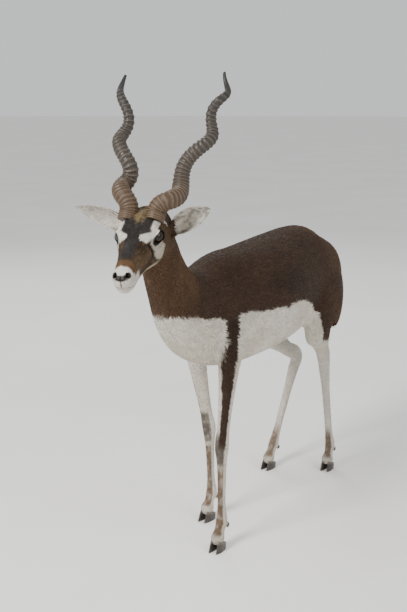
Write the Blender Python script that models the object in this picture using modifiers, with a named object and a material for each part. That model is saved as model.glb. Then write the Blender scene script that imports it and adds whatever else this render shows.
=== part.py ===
"""An adult male blackbuck, life size, standing still with its head turned a little to its left.

The animal faces -Y, its left side is +X and it stands on the plane z = 0. All sizes are in metres.
The trunk, neck, shoulders, haunches and limbs are lofts that are fused into one body, smoothed where
they join, and then parted with thin cuts. The head is a loft of its own that meets the neck at a cut.
"""

import math
from collections import namedtuple

import bmesh
import bpy
import numpy as np
from mathutils import Matrix, Vector

# Driving dimensions
GAP = 0.0003  # the gap that parted neighbours keep
FUSE_VOXEL = 0.0042  # grid on which the lofts of the body are fused
BODY_TRIANGLES = 6600  # of trunk, neck, head and the four legs together, before they are parted
HEAD_TRIANGLES = 2350  # before its lids, mouth and nostrils are cut
HEAD_SIDES = 40

HEAD_AT = Vector((0.0472, -0.6481, 0.9073))  # the occiput, where the head turns on the neck
HEAD_YAW = 16.9  # degrees, to the animal's left
HEAD_PITCH = 20.4  # degrees, nose down
HEAD_ROLL = -1.1  # degrees, left side down

EYE_RADIUS = 0.0166
EYE_AT = Vector((0.0368, -0.0850, 0.0180))  # in the head, left side
EYE_LOOKS = Vector((0.79, -0.58, 0.18))
EYE_OPENING = (0.0155, 0.0090)  # half length and half height between the lids

HORN_RINGS = 30
EAR_LENGTH = {1: 0.128, -1: 0.138}  # the right ear is turned more to the side
CLAW_LENGTH = 0.050
CLAW_WIDTH = 0.0175
CLAW_HEIGHT = 0.030

# A loft's station: its centre, then how far the form reaches sideways, up (or to the front on a leg)
# and down (or to the back).
Station = namedtuple("Station", "x y z side up down")

TRUNK = {
    "buttock end": Station(0.000, 0.430, 0.690, 0.022, 0.026, 0.034),
    "buttock": Station(0.000, 0.414, 0.688, 0.056, 0.052, 0.070),
    "tail head": Station(0.000, 0.372, 0.668, 0.094, 0.101, 0.118),
    "croup": Station(0.000, 0.290, 0.640, 0.114, 0.155, 0.128),
    "loin": Station(0.000, 0.180, 0.634, 0.116, 0.169, 0.140),
    "flank": Station(0.000, 0.080, 0.634, 0.128, 0.164, 0.156),
    "belly": Station(0.000, -0.030, 0.632, 0.137, 0.159, 0.159),
    "girth": Station(0.000, -0.140, 0.630, 0.128, 0.157, 0.158),
    "withers": Station(0.000, -0.230, 0.630, 0.113, 0.158, 0.154),
    "shoulder": Station(0.000, -0.310, 0.638, 0.099, 0.144, 0.144),
    "breast": Station(0.002, -0.385, 0.658, 0.085, 0.112, 0.128),
    "neck root": Station(0.007, -0.450, 0.694, 0.070, 0.084, 0.108),
    "lower neck": Station(0.016, -0.510, 0.744, 0.056, 0.060, 0.088),
    "mid neck": Station(0.028, -0.565, 0.802, 0.049, 0.050, 0.072),
    "upper neck": Station(0.040, -0.611, 0.860, 0.045, 0.046, 0.062),
    "throat": Station(0.048, -0.651, 0.903, 0.042, 0.044, 0.045),
    "under poll": Station(0.056, -0.690, 0.926, 0.030, 0.030, 0.024),
}


def smooth_rows(rows, per_gap):
    """Rows of numbers read from a smooth curve through the given rows, spaced by their distance apart.

    Each gap is a cubic whose slopes at its ends are those of the parabola through the three nearest rows.
    """
    rows = np.array(rows, float)
    steps = np.maximum(np.linalg.norm(np.diff(rows[:, :3], axis=0), axis=1), 1e-6)
    at = np.concatenate([[0.0], np.cumsum(steps)])
    slopes = np.gradient(rows, at, axis=0)
    share = np.arange(per_gap) / per_gap
    gap = np.repeat(np.arange(len(rows) - 1), per_gap)
    t = np.tile(share, len(rows) - 1)[:, None]
    span = steps[gap][:, None]
    start, end = rows[gap], rows[gap + 1]
    out = (
        (2 * t**3 - 3 * t**2 + 1) * start
        + (t**3 - 2 * t**2 + t) * span * slopes[gap]
        + (3 * t**2 - 2 * t**3) * end
        + (t**3 - t**2) * span * slopes[gap + 1]
    )
    return np.vstack([out, rows[-1:]])


def grid_faces(rings, sides):
    """Quads between neighbouring rings of a closed tube, and a fan on each end's own middle point."""
    i, j = np.meshgrid(np.arange(rings - 1), np.arange(sides), indexing="ij")
    i, j = i.ravel(), j.ravel()
    k = (j + 1) % sides
    quads = np.stack([i * sides + j, i * sides + k, (i + 1) * sides + k, (i + 1) * sides + j], 1)
    first, last = rings * sides, rings * sides + 1
    a = np.arange(sides)
    b = (a + 1) % sides
    start = np.stack([np.full(sides, first), b, a], 1)
    end = np.stack([np.full(sides, last), (rings - 1) * sides + a, (rings - 1) * sides + b], 1)
    return quads.tolist() + start.tolist() + end.tolist()


def tube(stations, facing, sides=32, per_gap=5, squareness=0.94):
    """A loft along the stations: points and faces of a closed tube.

    facing is the direction that a station's "up" follows. Each ring is an oval whose upper and lower
    halves have their own heights, and squareness under 1 fills its corners.
    """
    rows = smooth_rows(stations, per_gap)
    centre = rows[:, :3]
    along = np.gradient(centre, axis=0)
    along /= np.linalg.norm(along, axis=1)[:, None]
    side = np.cross(np.array(facing, float), along)
    side /= np.linalg.norm(side, axis=1)[:, None]
    up = np.cross(along, side)
    turn = np.arange(sides) * 2 * math.pi / sides
    c, s = np.cos(turn), np.sin(turn)
    across = np.sign(c) * np.abs(c) ** squareness
    rise = np.sign(s) * np.abs(s) ** squareness
    height = np.where(rise[None, :] > 0, rows[:, 4:5], rows[:, 5:6]) * rise[None, :]
    points = (
        centre[:, None, :]
        + side[:, None, :] * (rows[:, 3:4] * across[None, :])[:, :, None]
        + up[:, None, :] * height[:, :, None]
    )
    points = np.vstack([points.reshape(-1, 3), centre[:1], centre[-1:]])
    return points, grid_faces(len(rows), sides)


def mesh_of(name, points, faces):
    mesh = bpy.data.meshes.new(name)
    mesh.from_pydata([tuple(p) for p in points], [], [tuple(f) for f in faces])
    mesh.update()
    bm = bmesh.new()
    bm.from_mesh(mesh)
    bmesh.ops.recalc_face_normals(bm, faces=bm.faces)
    bm.to_mesh(mesh)
    bm.free()
    return mesh


def object_of(name, mesh, collection):
    found = bpy.data.objects.new(name, mesh)
    collection.objects.link(found)
    return found


def applied(obj):
    """The object's modifiers made part of its mesh."""
    bpy.context.view_layer.update()
    graph = bpy.context.evaluated_depsgraph_get()
    mesh = bpy.data.meshes.new_from_object(obj.evaluated_get(graph))
    obj.modifiers.clear()
    old, obj.data = obj.data, mesh
    bpy.data.meshes.remove(old)
    return obj


# The limbs: the place of each joint, and the flesh on the bones between them. A row of flesh names the
# joint above it, how far it lies towards the next joint, and its reach sideways, forward and back.
LIMBS = {
    "fore_leg_left": {
        "blade": (0.050, -0.225, 0.715),
        "arm": (0.077, -0.302, 0.610),
        "elbow": (0.073, -0.320, 0.498),
        "carpus": (0.061, -0.338, 0.288),
        "fetlock": (0.060, -0.337, 0.074),
        "coronet": (0.060, -0.358, 0.030),
    },
    "fore_leg_right": {
        "blade": (-0.050, -0.225, 0.715),
        "arm": (-0.080, -0.285, 0.610),
        "elbow": (-0.082, -0.228, 0.498),
        "carpus": (-0.060, -0.193, 0.272),
        "fetlock": (-0.060, -0.180, 0.074),
        "coronet": (-0.060, -0.204, 0.030),
    },
    "hind_leg_left": {
        "hip": (0.068, 0.280, 0.700),
        "thigh": (0.084, 0.262, 0.600),
        "stifle": (0.092, 0.205, 0.500),
        "hock": (0.058, 0.335, 0.362),
        "fetlock": (0.083, 0.345, 0.074),
        "coronet": (0.084, 0.326, 0.030),
    },
    "hind_leg_right": {
        "hip": (-0.068, 0.280, 0.700),
        "thigh": (-0.084, 0.262, 0.590),
        "stifle": (-0.096, 0.205, 0.476),
        "hock": (-0.064, 0.392, 0.338),
        "fetlock": (-0.082, 0.268, 0.074),
        "coronet": (-0.084, 0.238, 0.030),
    },
}
LOWER_FLESH = (
    ("fetlock", 0.00, 0.0165, 0.0145, 0.0185),
    ("fetlock", 0.50, 0.0142, 0.0128, 0.0150),
    ("coronet", 0.00, 0.0178, 0.0175, 0.0170),
)
FORE_FLESH = (
    ("blade", 0.00, 0.0180, 0.0400, 0.0450),
    ("arm", 0.00, 0.0310, 0.0600, 0.0760),
    ("elbow", 0.00, 0.0270, 0.0430, 0.0350),
    ("elbow", 0.35, 0.0220, 0.0270, 0.0200),
    ("elbow", 0.80, 0.0175, 0.0180, 0.0160),
    ("carpus", 0.00, 0.0195, 0.0190, 0.0190),
    ("carpus", 0.22, 0.0145, 0.0135, 0.0150),
    ("carpus", 0.55, 0.0115, 0.0115, 0.0140),
    ("carpus", 0.85, 0.0125, 0.0120, 0.0150),
) + LOWER_FLESH
HIND_FLESH = (
    ("hip", 0.00, 0.0320, 0.0800, 0.1000),
    ("thigh", 0.00, 0.0420, 0.1080, 0.1200),
    ("stifle", 0.00, 0.0350, 0.0660, 0.0860),
    ("stifle", 0.32, 0.0270, 0.0420, 0.0520),
    ("stifle", 0.70, 0.0190, 0.0240, 0.0290),
    ("hock", 0.00, 0.0180, 0.0230, 0.0320),
    ("hock", 0.13, 0.0165, 0.0190, 0.0240),
    ("hock", 0.32, 0.0135, 0.0140, 0.0175),
    ("hock", 0.60, 0.0122, 0.0125, 0.0150),
    ("hock", 0.88, 0.0130, 0.0130, 0.0155),
) + LOWER_FLESH
LEG_SIDES = 22
DEWCLAW = (0.0080, 0.0065, 0.0100)  # half sizes of the two small horny lumps behind a fetlock
TOE_OUT = 4.0  # degrees that each foot turns outward


def limb_stations(joints, flesh):
    """The loft's stations down one limb, and a last one that ends it between the claws."""
    names = list(joints)
    rows = []
    for name, share, side, front, back in flesh:
        here = Vector(joints[name])
        following = names[min(names.index(name) + 1, len(names) - 1)]
        at = here.lerp(Vector(joints[following]), share)
        rows.append(Station(*at, side, front, back))
    low = rows[-1]
    rows.append(Station(low.x, low.y - 0.001, 0.0170, 0.0120, 0.0120, 0.0130))
    return rows


def ball(at, half_sizes, sides=12, rings=8):
    """Points and faces of an oval ball."""
    bm = bmesh.new()
    bmesh.ops.create_uvsphere(bm, u_segments=sides, v_segments=rings, radius=1.0)
    points = np.array([v.co for v in bm.verts]) * np.array(half_sizes) + np.array(at)
    faces = [[v.index for v in f.verts] for f in bm.faces]
    bm.free()
    return points, faces


def dewclaws(joints):
    """The two lumps behind and below the fetlock."""
    at = Vector(joints["fetlock"])
    reach = (0.0085, 0.0165, -0.0130)
    return [ball(at + Vector((side * reach[0], reach[1], reach[2])), DEWCLAW) for side in (-1, 1)]


def joined(name, shells, collection):
    """Closed shells as one object, still overlapping."""
    points, faces, start = [], [], 0
    for shell_points, shell_faces in shells:
        points.extend(shell_points)
        faces.extend([[i + start for i in face] for face in shell_faces])
        start += len(shell_points)
    return object_of(name, mesh_of(name, points, faces), collection)


def mesh_arrays(mesh):
    points = np.empty(len(mesh.vertices) * 3)
    mesh.vertices.foreach_get("co", points)
    edges = np.empty(len(mesh.edges) * 2, int)
    mesh.edges.foreach_get("vertices", edges)
    return points.reshape(-1, 3), edges.reshape(-1, 2)


def relaxed(mesh, rounds, strength):
    """Moves each point towards the middle of its neighbours. strength may differ from point to point."""
    points, edges = mesh_arrays(mesh)
    count = np.bincount(edges.ravel(), minlength=len(points))[:, None]
    for _ in range(rounds):
        total = np.zeros_like(points)
        for axis in range(3):
            total[:, axis] = np.bincount(
                edges.ravel(), points[edges[:, ::-1].ravel(), axis], len(points)
            )
        points += strength * (total / np.maximum(count, 1) - points)
    mesh.vertices.foreach_set("co", points.ravel())
    mesh.update()


def ironed(mesh, rounds):
    """Takes the voxel steps out and keeps the volume: each round relaxes, then swells back a little more."""
    for _ in range(rounds):
        relaxed(mesh, 1, 0.50)
        relaxed(mesh, 1, -0.52)


def nearness(points, centres, reach):
    """1 at any of the centres, falling to 0 over the reach."""
    found = np.zeros(len(points))
    for centre in centres:
        away = np.linalg.norm(points - np.array(centre), axis=1)
        found = np.maximum(found, np.exp(-((away / reach) ** 2)))
    return found


def fused(obj, voxel):
    """One skin over overlapping shells."""
    remesh = obj.modifiers.new("fuse", "REMESH")
    remesh.mode = "VOXEL"
    remesh.voxel_size = voxel
    return applied(obj)


def is_closed(mesh):
    """Whether each edge has just two faces."""
    sides = np.array([key for face in mesh.polygons for key in face.edge_keys])
    _, count = np.unique(sides, axis=0, return_counts=True)
    return bool(np.all(count == 2))


def thinned(obj, triangles):
    """Fewer triangles, the most where the form bends. A result that isn't closed is made again a little finer."""
    obj.data.calc_loop_triangles()
    full = obj.data.copy()
    whole = len(full.loop_triangles) or len(obj.data.loop_triangles)
    for more in (1.0, 1.015, 1.03, 1.045, 1.06):
        collapse = obj.modifiers.new("thin", "DECIMATE")
        collapse.ratio = min(1.0, more * triangles / whole)
        collapse.use_collapse_triangulate = True
        applied(obj)
        if is_closed(obj.data):
            break
        obj.data = full.copy()
    bpy.data.meshes.remove(full)
    return obj


def cut(obj, other, operation="DIFFERENCE"):
    """The object cut, joined or crossed with another closed mesh, which is then removed."""
    boolean = obj.modifiers.new("cut", "BOOLEAN")
    boolean.operation = operation
    boolean.solver = "MANIFOLD"
    boolean.object = other
    applied(obj)
    bpy.data.objects.remove(other)
    return obj


def largest_only(obj):
    """Keeps the largest closed surface of a node and drops loose scraps."""
    bm = bmesh.new()
    bm.from_mesh(obj.data)
    left, pieces = set(bm.verts), []
    while left:
        front = [left.pop()]
        piece = set(front)
        while front:
            nearby = [e.other_vert(v) for v in front for e in v.link_edges]
            front = [v for v in set(nearby) if v not in piece]
            piece.update(front)
        left -= piece
        pieces.append(piece)
    for piece in sorted(pieces, key=len)[:-1]:
        bmesh.ops.delete(bm, geom=list(piece), context="VERTS")
    bm.to_mesh(obj.data)
    bm.free()
    return obj


def copy_of(obj, name, collection):
    return object_of(name, obj.data.copy(), collection)


def swollen(obj, by, collection):
    """A copy whose surface stands out by a small distance."""
    grown = copy_of(obj, obj.name + "_swollen", collection)
    grown.data.update()
    points, _ = mesh_arrays(grown.data)
    normals = np.array([v.normal for v in grown.data.vertices])
    grown.data.vertices.foreach_set("co", (points + normals * by).ravel())
    return grown


def block(name, at, facing, collection, size, depth, grow=0.0):
    """A block whose one face lies on a point and whose body reaches from there the way it faces.

    Its second axis follows the animal's length. grow moves every side out.
    """
    bm = bmesh.new()
    bmesh.ops.create_cube(bm, size=1.0)
    bmesh.ops.translate(bm, vec=(0, 0, 0.5), verts=bm.verts)
    bmesh.ops.scale(bm, vec=(size[0] + 2 * grow, size[1] + 2 * grow, depth + grow), verts=bm.verts)
    bmesh.ops.translate(bm, vec=(0, 0, -grow), verts=bm.verts)
    out = Vector(facing).normalized()
    side = Vector((0, 1, 0)).cross(out).normalized()
    turn = Matrix((side, out.cross(side), out)).transposed().to_4x4()
    bmesh.ops.transform(bm, matrix=Matrix.Translation(at) @ turn, verts=bm.verts)
    bmesh.ops.recalc_face_normals(bm, faces=bm.faces)
    mesh = bpy.data.meshes.new(name)
    bm.to_mesh(mesh)
    bm.free()
    return object_of(name, mesh, collection)


def leg_block(name, cut_row, collection, grow=0.0):
    """An upright block that holds one leg, with a sloping top where the leg is parted from the trunk.

    The top is the plane z = height + slope_x * x + slope_y * y, lifted by grow.
    """
    (x0, x1), (y0, y1), height, (slope_x, slope_y) = cut_row
    x0, x1, y0, y1 = x0 - grow, x1 + grow, y0 - grow, y1 + grow
    lift = grow * math.sqrt(1 + slope_x**2 + slope_y**2)
    corners = [(x, y, z) for z in (0, 1) for x, y in ((x0, y0), (x1, y0), (x1, y1), (x0, y1))]
    points = [(x, y, height + slope_x * x + slope_y * y + lift if z else -0.05) for x, y, z in corners]
    faces = [[0, 1, 2, 3], [4, 5, 6, 7], [0, 1, 5, 4], [1, 2, 6, 5], [2, 3, 7, 6], [3, 0, 4, 7]]
    return object_of(name, mesh_of(name, points, faces), collection)


# Where each leg is parted from the trunk: the block's reach in x and in y, and its sloping top.
LEG_CUTS = {
    "fore_leg_left": ((0.006, 0.25), (-0.52, -0.12), 0.437, (0.45, -0.05)),
    "fore_leg_right": ((-0.25, -0.006), (-0.52, -0.04), 0.440, (-0.45, -0.02)),
    "hind_leg_left": ((0.006, 0.25), (0.02, 0.60), 0.420, (0.50, 0.18)),
    "hind_leg_right": ((-0.25, -0.006), (0.02, 0.60), 0.412, (-0.50, 0.18)),
}
JOIN_POINTS = {  # where lofts meet at a sharp angle and the flesh runs smoothly
    "elbow": 0.060,
    "stifle": 0.080,
    "thigh": 0.140,
    "hip": 0.110,
    "arm": 0.110,
}


# The head's own frame: x to its left, y back, z up, with the occiput at the origin. A row gives the
# distance forward, the top, the bottom, the half width, and the height at which it is widest.
HEAD_ROWS = (
    (-0.034, 0.016, -0.046, 0.030, -0.010),
    (-0.024, 0.034, -0.060, 0.043, -0.010),
    (0.000, 0.044, -0.066, 0.047, -0.010),
    (0.030, 0.052, -0.070, 0.049, -0.005),
    (0.060, 0.056, -0.067, 0.051, 0.001),
    (0.090, 0.051, -0.060, 0.050, 0.004),
    (0.120, 0.0420, -0.0530, 0.0405, 0.003),
    (0.150, 0.0345, -0.0480, 0.0310, -0.001),
    (0.180, 0.0275, -0.0450, 0.0255, -0.005),
    (0.205, 0.0215, -0.0440, 0.0235, -0.009),
    (0.225, 0.0140, -0.0410, 0.0205, -0.011),
    (0.238, 0.0020, -0.0330, 0.0135, -0.012),
    (0.242, -0.0070, -0.0220, 0.0065, -0.013),
)
HEAD_BUMPS = {  # where, how far it reaches, and how far it moves the surface, on the left and mirrored
    "brow": ((0.046, -0.086, 0.040), (0.016, 0.026, 0.014), (0.0030, 0.0, 0.0050)),
    "cheek bone": ((0.050, -0.078, -0.004), (0.014, 0.034, 0.010), (0.0045, 0.0, 0.0)),
    "jaw muscle": ((0.044, -0.040, -0.036), (0.022, 0.030, 0.024), (0.0040, 0.0, -0.0010)),
    "cheek hollow": ((0.034, -0.130, -0.020), (0.016, 0.026, 0.014), (-0.0030, 0.0, 0.0)),
    "tear gland": ((0.038, -0.126, 0.014), (0.012, 0.011, 0.008), (-0.0028, 0.0, 0.0)),
    "nostril wing": ((0.016, -0.226, -0.003), (0.008, 0.011, 0.009), (0.0030, -0.0010, 0.0)),
    "upper lip": ((0.018, -0.212, -0.019), (0.012, 0.024, 0.006), (0.0022, -0.0008, 0.0)),
    "lower lip": ((0.014, -0.212, -0.034), (0.012, 0.020, 0.006), (0.0012, -0.0008, 0.0)),
    "under the lip": ((0.008, -0.238, -0.026), (0.016, 0.014, 0.004), (-0.0010, 0.0022, 0.0)),
    "horn root": ((0.031, -0.046, 0.056), (0.018, 0.018, 0.016), (0.0005, 0.0, 0.0040)),
    "ear root": ((0.048, -0.003, -0.009), (0.014, 0.014, 0.014), (0.0040, 0.0020, 0.0020)),
}


def head_matrix():
    turn = Matrix.Rotation(math.radians(HEAD_YAW), 4, "Z")
    nod = Matrix.Rotation(math.radians(HEAD_PITCH), 4, "X")
    roll = Matrix.Rotation(math.radians(HEAD_ROLL), 4, "Y")
    return Matrix.Translation(HEAD_AT) @ turn @ nod @ roll


def placed(points, matrix):
    m = np.array(matrix)
    return np.asarray(points) @ m[:3, :3].T + m[:3, 3]


def bumped(points, bumps):
    """Each bump moves nearby points by its push times exp(-(distance / reach)^2), on both sides."""
    moved = np.array(points, float)
    for centre, reach, push in bumps.values():
        for mirror in (1, -1):
            flip = np.array((mirror, 1, 1))
            away = (points - np.array(centre) * flip) / np.array(reach)
            share = np.exp(-np.sum(away**2, axis=1))[:, None]
            moved += share * np.array(push) * flip
    return moved


def head_shell():
    """The head's loft from occiput to nose, and the balls that carry the eyelids, placed on the neck."""
    stations = [
        Station(0.0, -ahead, widest, half, top - widest, widest - bottom)
        for ahead, top, bottom, half, widest in HEAD_ROWS
    ]
    points, faces = tube(stations, (0, 0, 1), HEAD_SIDES, 5, 0.90)
    return placed(bumped(points, HEAD_BUMPS), head_matrix()), faces


def eye_frame(side):
    """A matrix at the eye's centre: x along the slit between the lids, y up, z the way it looks."""
    out = Vector((side * EYE_LOOKS.x, EYE_LOOKS.y, EYE_LOOKS.z)).normalized()
    along = Vector((0, -1, -0.22))
    along = (along - out * along.dot(out)).normalized()
    up = out.cross(along)
    if up.z < 0:
        up.negate()
    at = Vector((side * EYE_AT.x, EYE_AT.y, EYE_AT.z))
    turn = Matrix((along, up, out)).transposed().to_4x4()
    return head_matrix() @ Matrix.Translation(at) @ turn


def eye_ball(name, side, radius, collection):
    """A ball with its pole where the eye looks."""
    points, faces = ball((0, 0, 0), (radius, radius, radius), 16, 9)
    return object_of(name, mesh_of(name, placed(points, eye_frame(side)), faces), collection)


def prism(name, outline, near, far, matrix, collection, flare=1.0):
    """An outline in the matrix's x and y, drawn from near to far along its z. flare scales the far end."""
    count = len(outline)
    outline = np.asarray(outline, float)
    low = np.column_stack([outline, np.full(count, near)])
    high = np.column_stack([outline * flare, np.full(count, far)])
    j = np.arange(count)
    k = (j + 1) % count
    faces = np.stack([j, k, k + count, j + count], 1).tolist()
    faces += [list(range(count)), list(range(count, 2 * count))]
    points = placed(np.vstack([low, high]), matrix)
    return object_of(name, mesh_of(name, points, faces), collection)


def almond(half_length, half_height, count=22):
    turn = np.arange(count) * 2 * math.pi / count
    rise = np.sign(np.sin(turn)) * np.abs(np.sin(turn)) ** 1.2
    return np.column_stack([half_length * np.cos(turn), half_height * rise])


# The line of the mouth on the left, from the front to the corner: turn from straight ahead seen from a
# point inside the muzzle, and height.
MOUTH_INSIDE = Vector((0.0, -0.205, 0.0))
MOUTH_LINE = (
    (0, -0.0215),
    (25, -0.0222),
    (50, -0.0250),
    (75, -0.0280),
    (100, -0.0292),
    (120, -0.0288),
    (135, -0.0275),
    (144, -0.0262),
)
NOSTRIL = ((0.0120, -0.2325, 0.0035), (0.0036, 0.0100, 0.0070), (18.0, 0.0, 32.0))


def mouth_cutter(head, collection):
    """A wedge that follows the line of the mouth on the surface, from one corner to the other."""
    inverse = head_matrix().inverted()
    rows = []
    line = [(-turn, height) for turn, height in reversed(MOUTH_LINE[1:])] + list(MOUTH_LINE)
    for number, (turn, height) in enumerate(line):
        angle = math.radians(turn)
        out = Vector((math.sin(angle), -math.cos(angle), 0.0))
        start = Vector((MOUTH_INSIDE.x, MOUTH_INSIDE.y, height))
        direction = head_matrix().to_3x3() @ out
        hit, where, _, _ = head.ray_cast(head_matrix() @ start, direction)
        skin = inverse @ where if hit else start + out * 0.02
        last = number in (0, len(line) - 1)
        wide, deep = (0.0004, 0.0015) if last else (0.0013, 0.0060)
        rows.append(
            [
                skin + out * 0.004 + Vector((0, 0, wide)),
                skin + out * 0.004 - Vector((0, 0, wide)),
                skin - out * deep - Vector((0, 0, 0.0003)),
                skin - out * deep + Vector((0, 0, 0.0003)),
            ]
        )
    count = len(rows)
    points = [head_matrix() @ p for row in rows for p in row]
    faces = []
    for i in range(count - 1):
        for j in range(4):
            k = (j + 1) % 4
            faces.append([i * 4 + j, i * 4 + k, (i + 1) * 4 + k, (i + 1) * 4 + j])
    faces += [[0, 1, 2, 3], [count * 4 - 4, count * 4 - 3, count * 4 - 2, count * 4 - 1]]
    return object_of("mouth", mesh_of("mouth", points, faces), collection)


def nostril_cutter(side, collection):
    """A comma slit beside the nose's middle, wider below."""
    at, half, turns = NOSTRIL
    points, faces = ball((0, 0, 0), half, 12, 8)
    points[:, 0] *= 1.0 - 0.45 * points[:, 2] / half[2]
    yaw = Matrix.Rotation(math.radians(side * turns[2]), 4, "Z")
    lean = Matrix.Rotation(math.radians(turns[0]), 4, "X")
    tip = Matrix.Rotation(math.radians(side * 24.0), 4, "Y")
    at = Matrix.Translation((side * at[0], at[1], at[2]))
    points = placed(points, head_matrix() @ at @ yaw @ lean @ tip)
    return object_of("nostril", mesh_of("nostril", points, faces), collection)


# The horns
HornTurns = namedtuple("HornTurns", "root back spread length swing taper bow_out bow_back phase")
HORNS = {
    # root in the head, degrees back and out, length of the axis, the screw's radius and how much of it
    # is lost by the tip, the axis's bow out and back, and the screw's half turns against the axis
    1: HornTurns(
        (0.0310, -0.0446, 0.0509), 50.5, 30.2, 0.3777, 0.0144, 0.365, 0.0216, -0.0056,
        ((0.0, 0.0), (0.159, 1.0), (0.365, 2.0), (0.579, 3.0), (0.737, 4.0), (0.888, 5.0), (1.0, 5.86)),
    ),
    -1: HornTurns(
        (0.0310, -0.0449, 0.0503), 53.1, 15.7, 0.3694, 0.0127, 0.195, 0.0043, -0.0070,
        ((0.0, 0.0), (0.178, 1.0), (0.307, 2.0), (0.517, 3.0), (0.675, 4.0), (0.903, 5.0), (1.0, 5.30)),
    ),
}
HORN_THICK = ((0.0, 0.0215), (0.10, 0.0205), (0.35, 0.0170), (0.60, 0.0135), (0.85, 0.0088), (1.0, 0.0032))
HORN_SIDES = 12
HORN_SUNK = 0.014  # how far the horn's foot reaches into the head before the head is cut from it


def read_row(rows, at):
    """A smooth reading of a short table: cubic between its rows."""
    rows = np.array(rows, float)
    slopes = np.gradient(rows[:, 1], rows[:, 0])
    at = np.clip(at, rows[0, 0], rows[-1, 0])
    gap = np.clip(np.searchsorted(rows[:, 0], at, side="right") - 1, 0, len(rows) - 2)
    span = rows[gap + 1, 0] - rows[gap, 0]
    t = (at - rows[gap, 0]) / span
    return (
        (2 * t**3 - 3 * t**2 + 1) * rows[gap, 1]
        + (t**3 - 2 * t**2 + t) * span * slopes[gap]
        + (3 * t**2 - 2 * t**3) * rows[gap + 1, 1]
        + (t**3 - t**2) * span * slopes[gap + 1]
    )


def horn_line(side, steps):
    """The horn's centreline in the head: a screw about an axis that leans back and out.

    At share s the axis has run s * length and bows by 4 s (1 - s), and the screw's radius grows from
    nothing over the first tenth and then tapers.
    """
    row = HORNS[side]
    share = np.linspace(0.0, 1.0, steps)
    phase = read_row(row.phase, share) * math.pi
    swing = row.swing * np.minimum(1.0, share / 0.09) * (1.0 - row.taper * share)
    lean = Matrix.Rotation(math.radians(-row.back), 3, "X")
    spread = Matrix.Rotation(math.radians(side * row.spread), 3, "Y")
    turn = np.array(spread @ lean)
    out, back, up = turn[:, 0] * side, turn[:, 1], turn[:, 2]
    bow = 4.0 * share * (1.0 - share)
    line = (
        np.array((side * row.root[0], row.root[1], row.root[2]))
        + up * (share * row.length)[:, None]
        - out * (np.cos(phase) * swing - row.bow_out * bow)[:, None]
        - back * (np.sin(phase) * swing - row.bow_back * bow)[:, None]
    )
    return share, line, out


def carried(along, start):
    """A direction square to a curve at each of its points, carried along it without twist."""
    found, last = [], np.array(start, float)
    for step in along:
        last = last - step * np.dot(last, step)
        last = last / np.linalg.norm(last)
        found.append(last)
    return np.array(found)


def horn(name, side, collection):
    """A tube along the screw, with a ridge round it at each growth ring and a smooth tip.

    Ridge k stands at share ((k + 0.5) / rings)^1.12 * 0.84 of the length and is a low hump.
    """
    ridge = 0.03 + 0.82 * ((np.arange(HORN_RINGS) + 0.5) / HORN_RINGS) ** 1.15
    between = 0.5 * (ridge[1:] + ridge[:-1])
    at = np.concatenate([[0.0, 0.012], ridge, between, [0.885, 0.92, 0.955, 0.98, 1.0]])
    stands = np.concatenate([[0.0, 0.0], np.ones(len(ridge)), -np.ones(len(between)), np.zeros(5)])
    order = np.argsort(at)
    at, stands = at[order], stands[order]
    share, fine, out = horn_line(side, 400)
    run = np.concatenate([[0.0], np.cumsum(np.linalg.norm(np.diff(fine, axis=0), axis=1))])
    run /= run[-1]
    centre = np.stack([np.interp(at, run, fine[:, axis]) for axis in range(3)], 1)
    ahead = np.stack([np.interp(np.minimum(at + 0.01, 1.0), run, fine[:, axis]) for axis in range(3)], 1)
    behind = np.stack([np.interp(np.maximum(at - 0.01, 0.0), run, fine[:, axis]) for axis in range(3)], 1)
    along = ahead - behind
    along /= np.linalg.norm(along, axis=1)[:, None]
    centre[0] -= along[0] * HORN_SUNK
    first = carried(along, np.array((1.0, 0.0, 0.0)))
    second = np.cross(along, first)
    radius = read_row(HORN_THICK, at)
    radius = radius + stands * np.interp(at, [0.0, 0.15, 0.7, 0.86, 0.9], [0.0007, 0.0010, 0.0009, 0.0005, 0.0])
    turn = np.arange(HORN_SIDES) * 2 * math.pi / HORN_SIDES
    ring = np.cos(turn)[None, :, None] * first[:, None, :] + np.sin(turn)[None, :, None] * second[:, None, :]
    points = centre[:, None, :] + radius[:, None, None] * ring
    tip = centre[-1] + along[-1] * 0.0025
    points = np.vstack([points.reshape(-1, 3), centre[:1], [tip]])
    faces = grid_faces(len(at), HORN_SIDES)
    return object_of(name, mesh_of(name, placed(points, head_matrix()), faces), collection)


# The ears
EAR_ROOTS = {1: Vector((0.0430, -0.0020, -0.0150)), -1: Vector((-0.0430, -0.0020, -0.0150))}
EAR_AXES = {1: Vector((0.86, -0.12, 0.58)), -1: Vector((-0.92, 0.02, 0.46))}
EAR_OPENS = Vector((0.10, -1.0, 0.05))
EAR_ACROSS = 8
EAR_ALONG = 13
EAR_HALF_WIDTH = (
    (0.0, 0.0130), (0.08, 0.0142), (0.22, 0.0205), (0.42, 0.0246), (0.62, 0.0224), (0.80, 0.0156),
    (0.92, 0.0075), (1.0, 0.0012),
)
EAR_BEND = ((0.0, 150.0), (0.10, 125.0), (0.30, 92.0), (0.60, 62.0), (0.85, 46.0), (1.0, 30.0))
EAR_THICK = 0.0028


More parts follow.
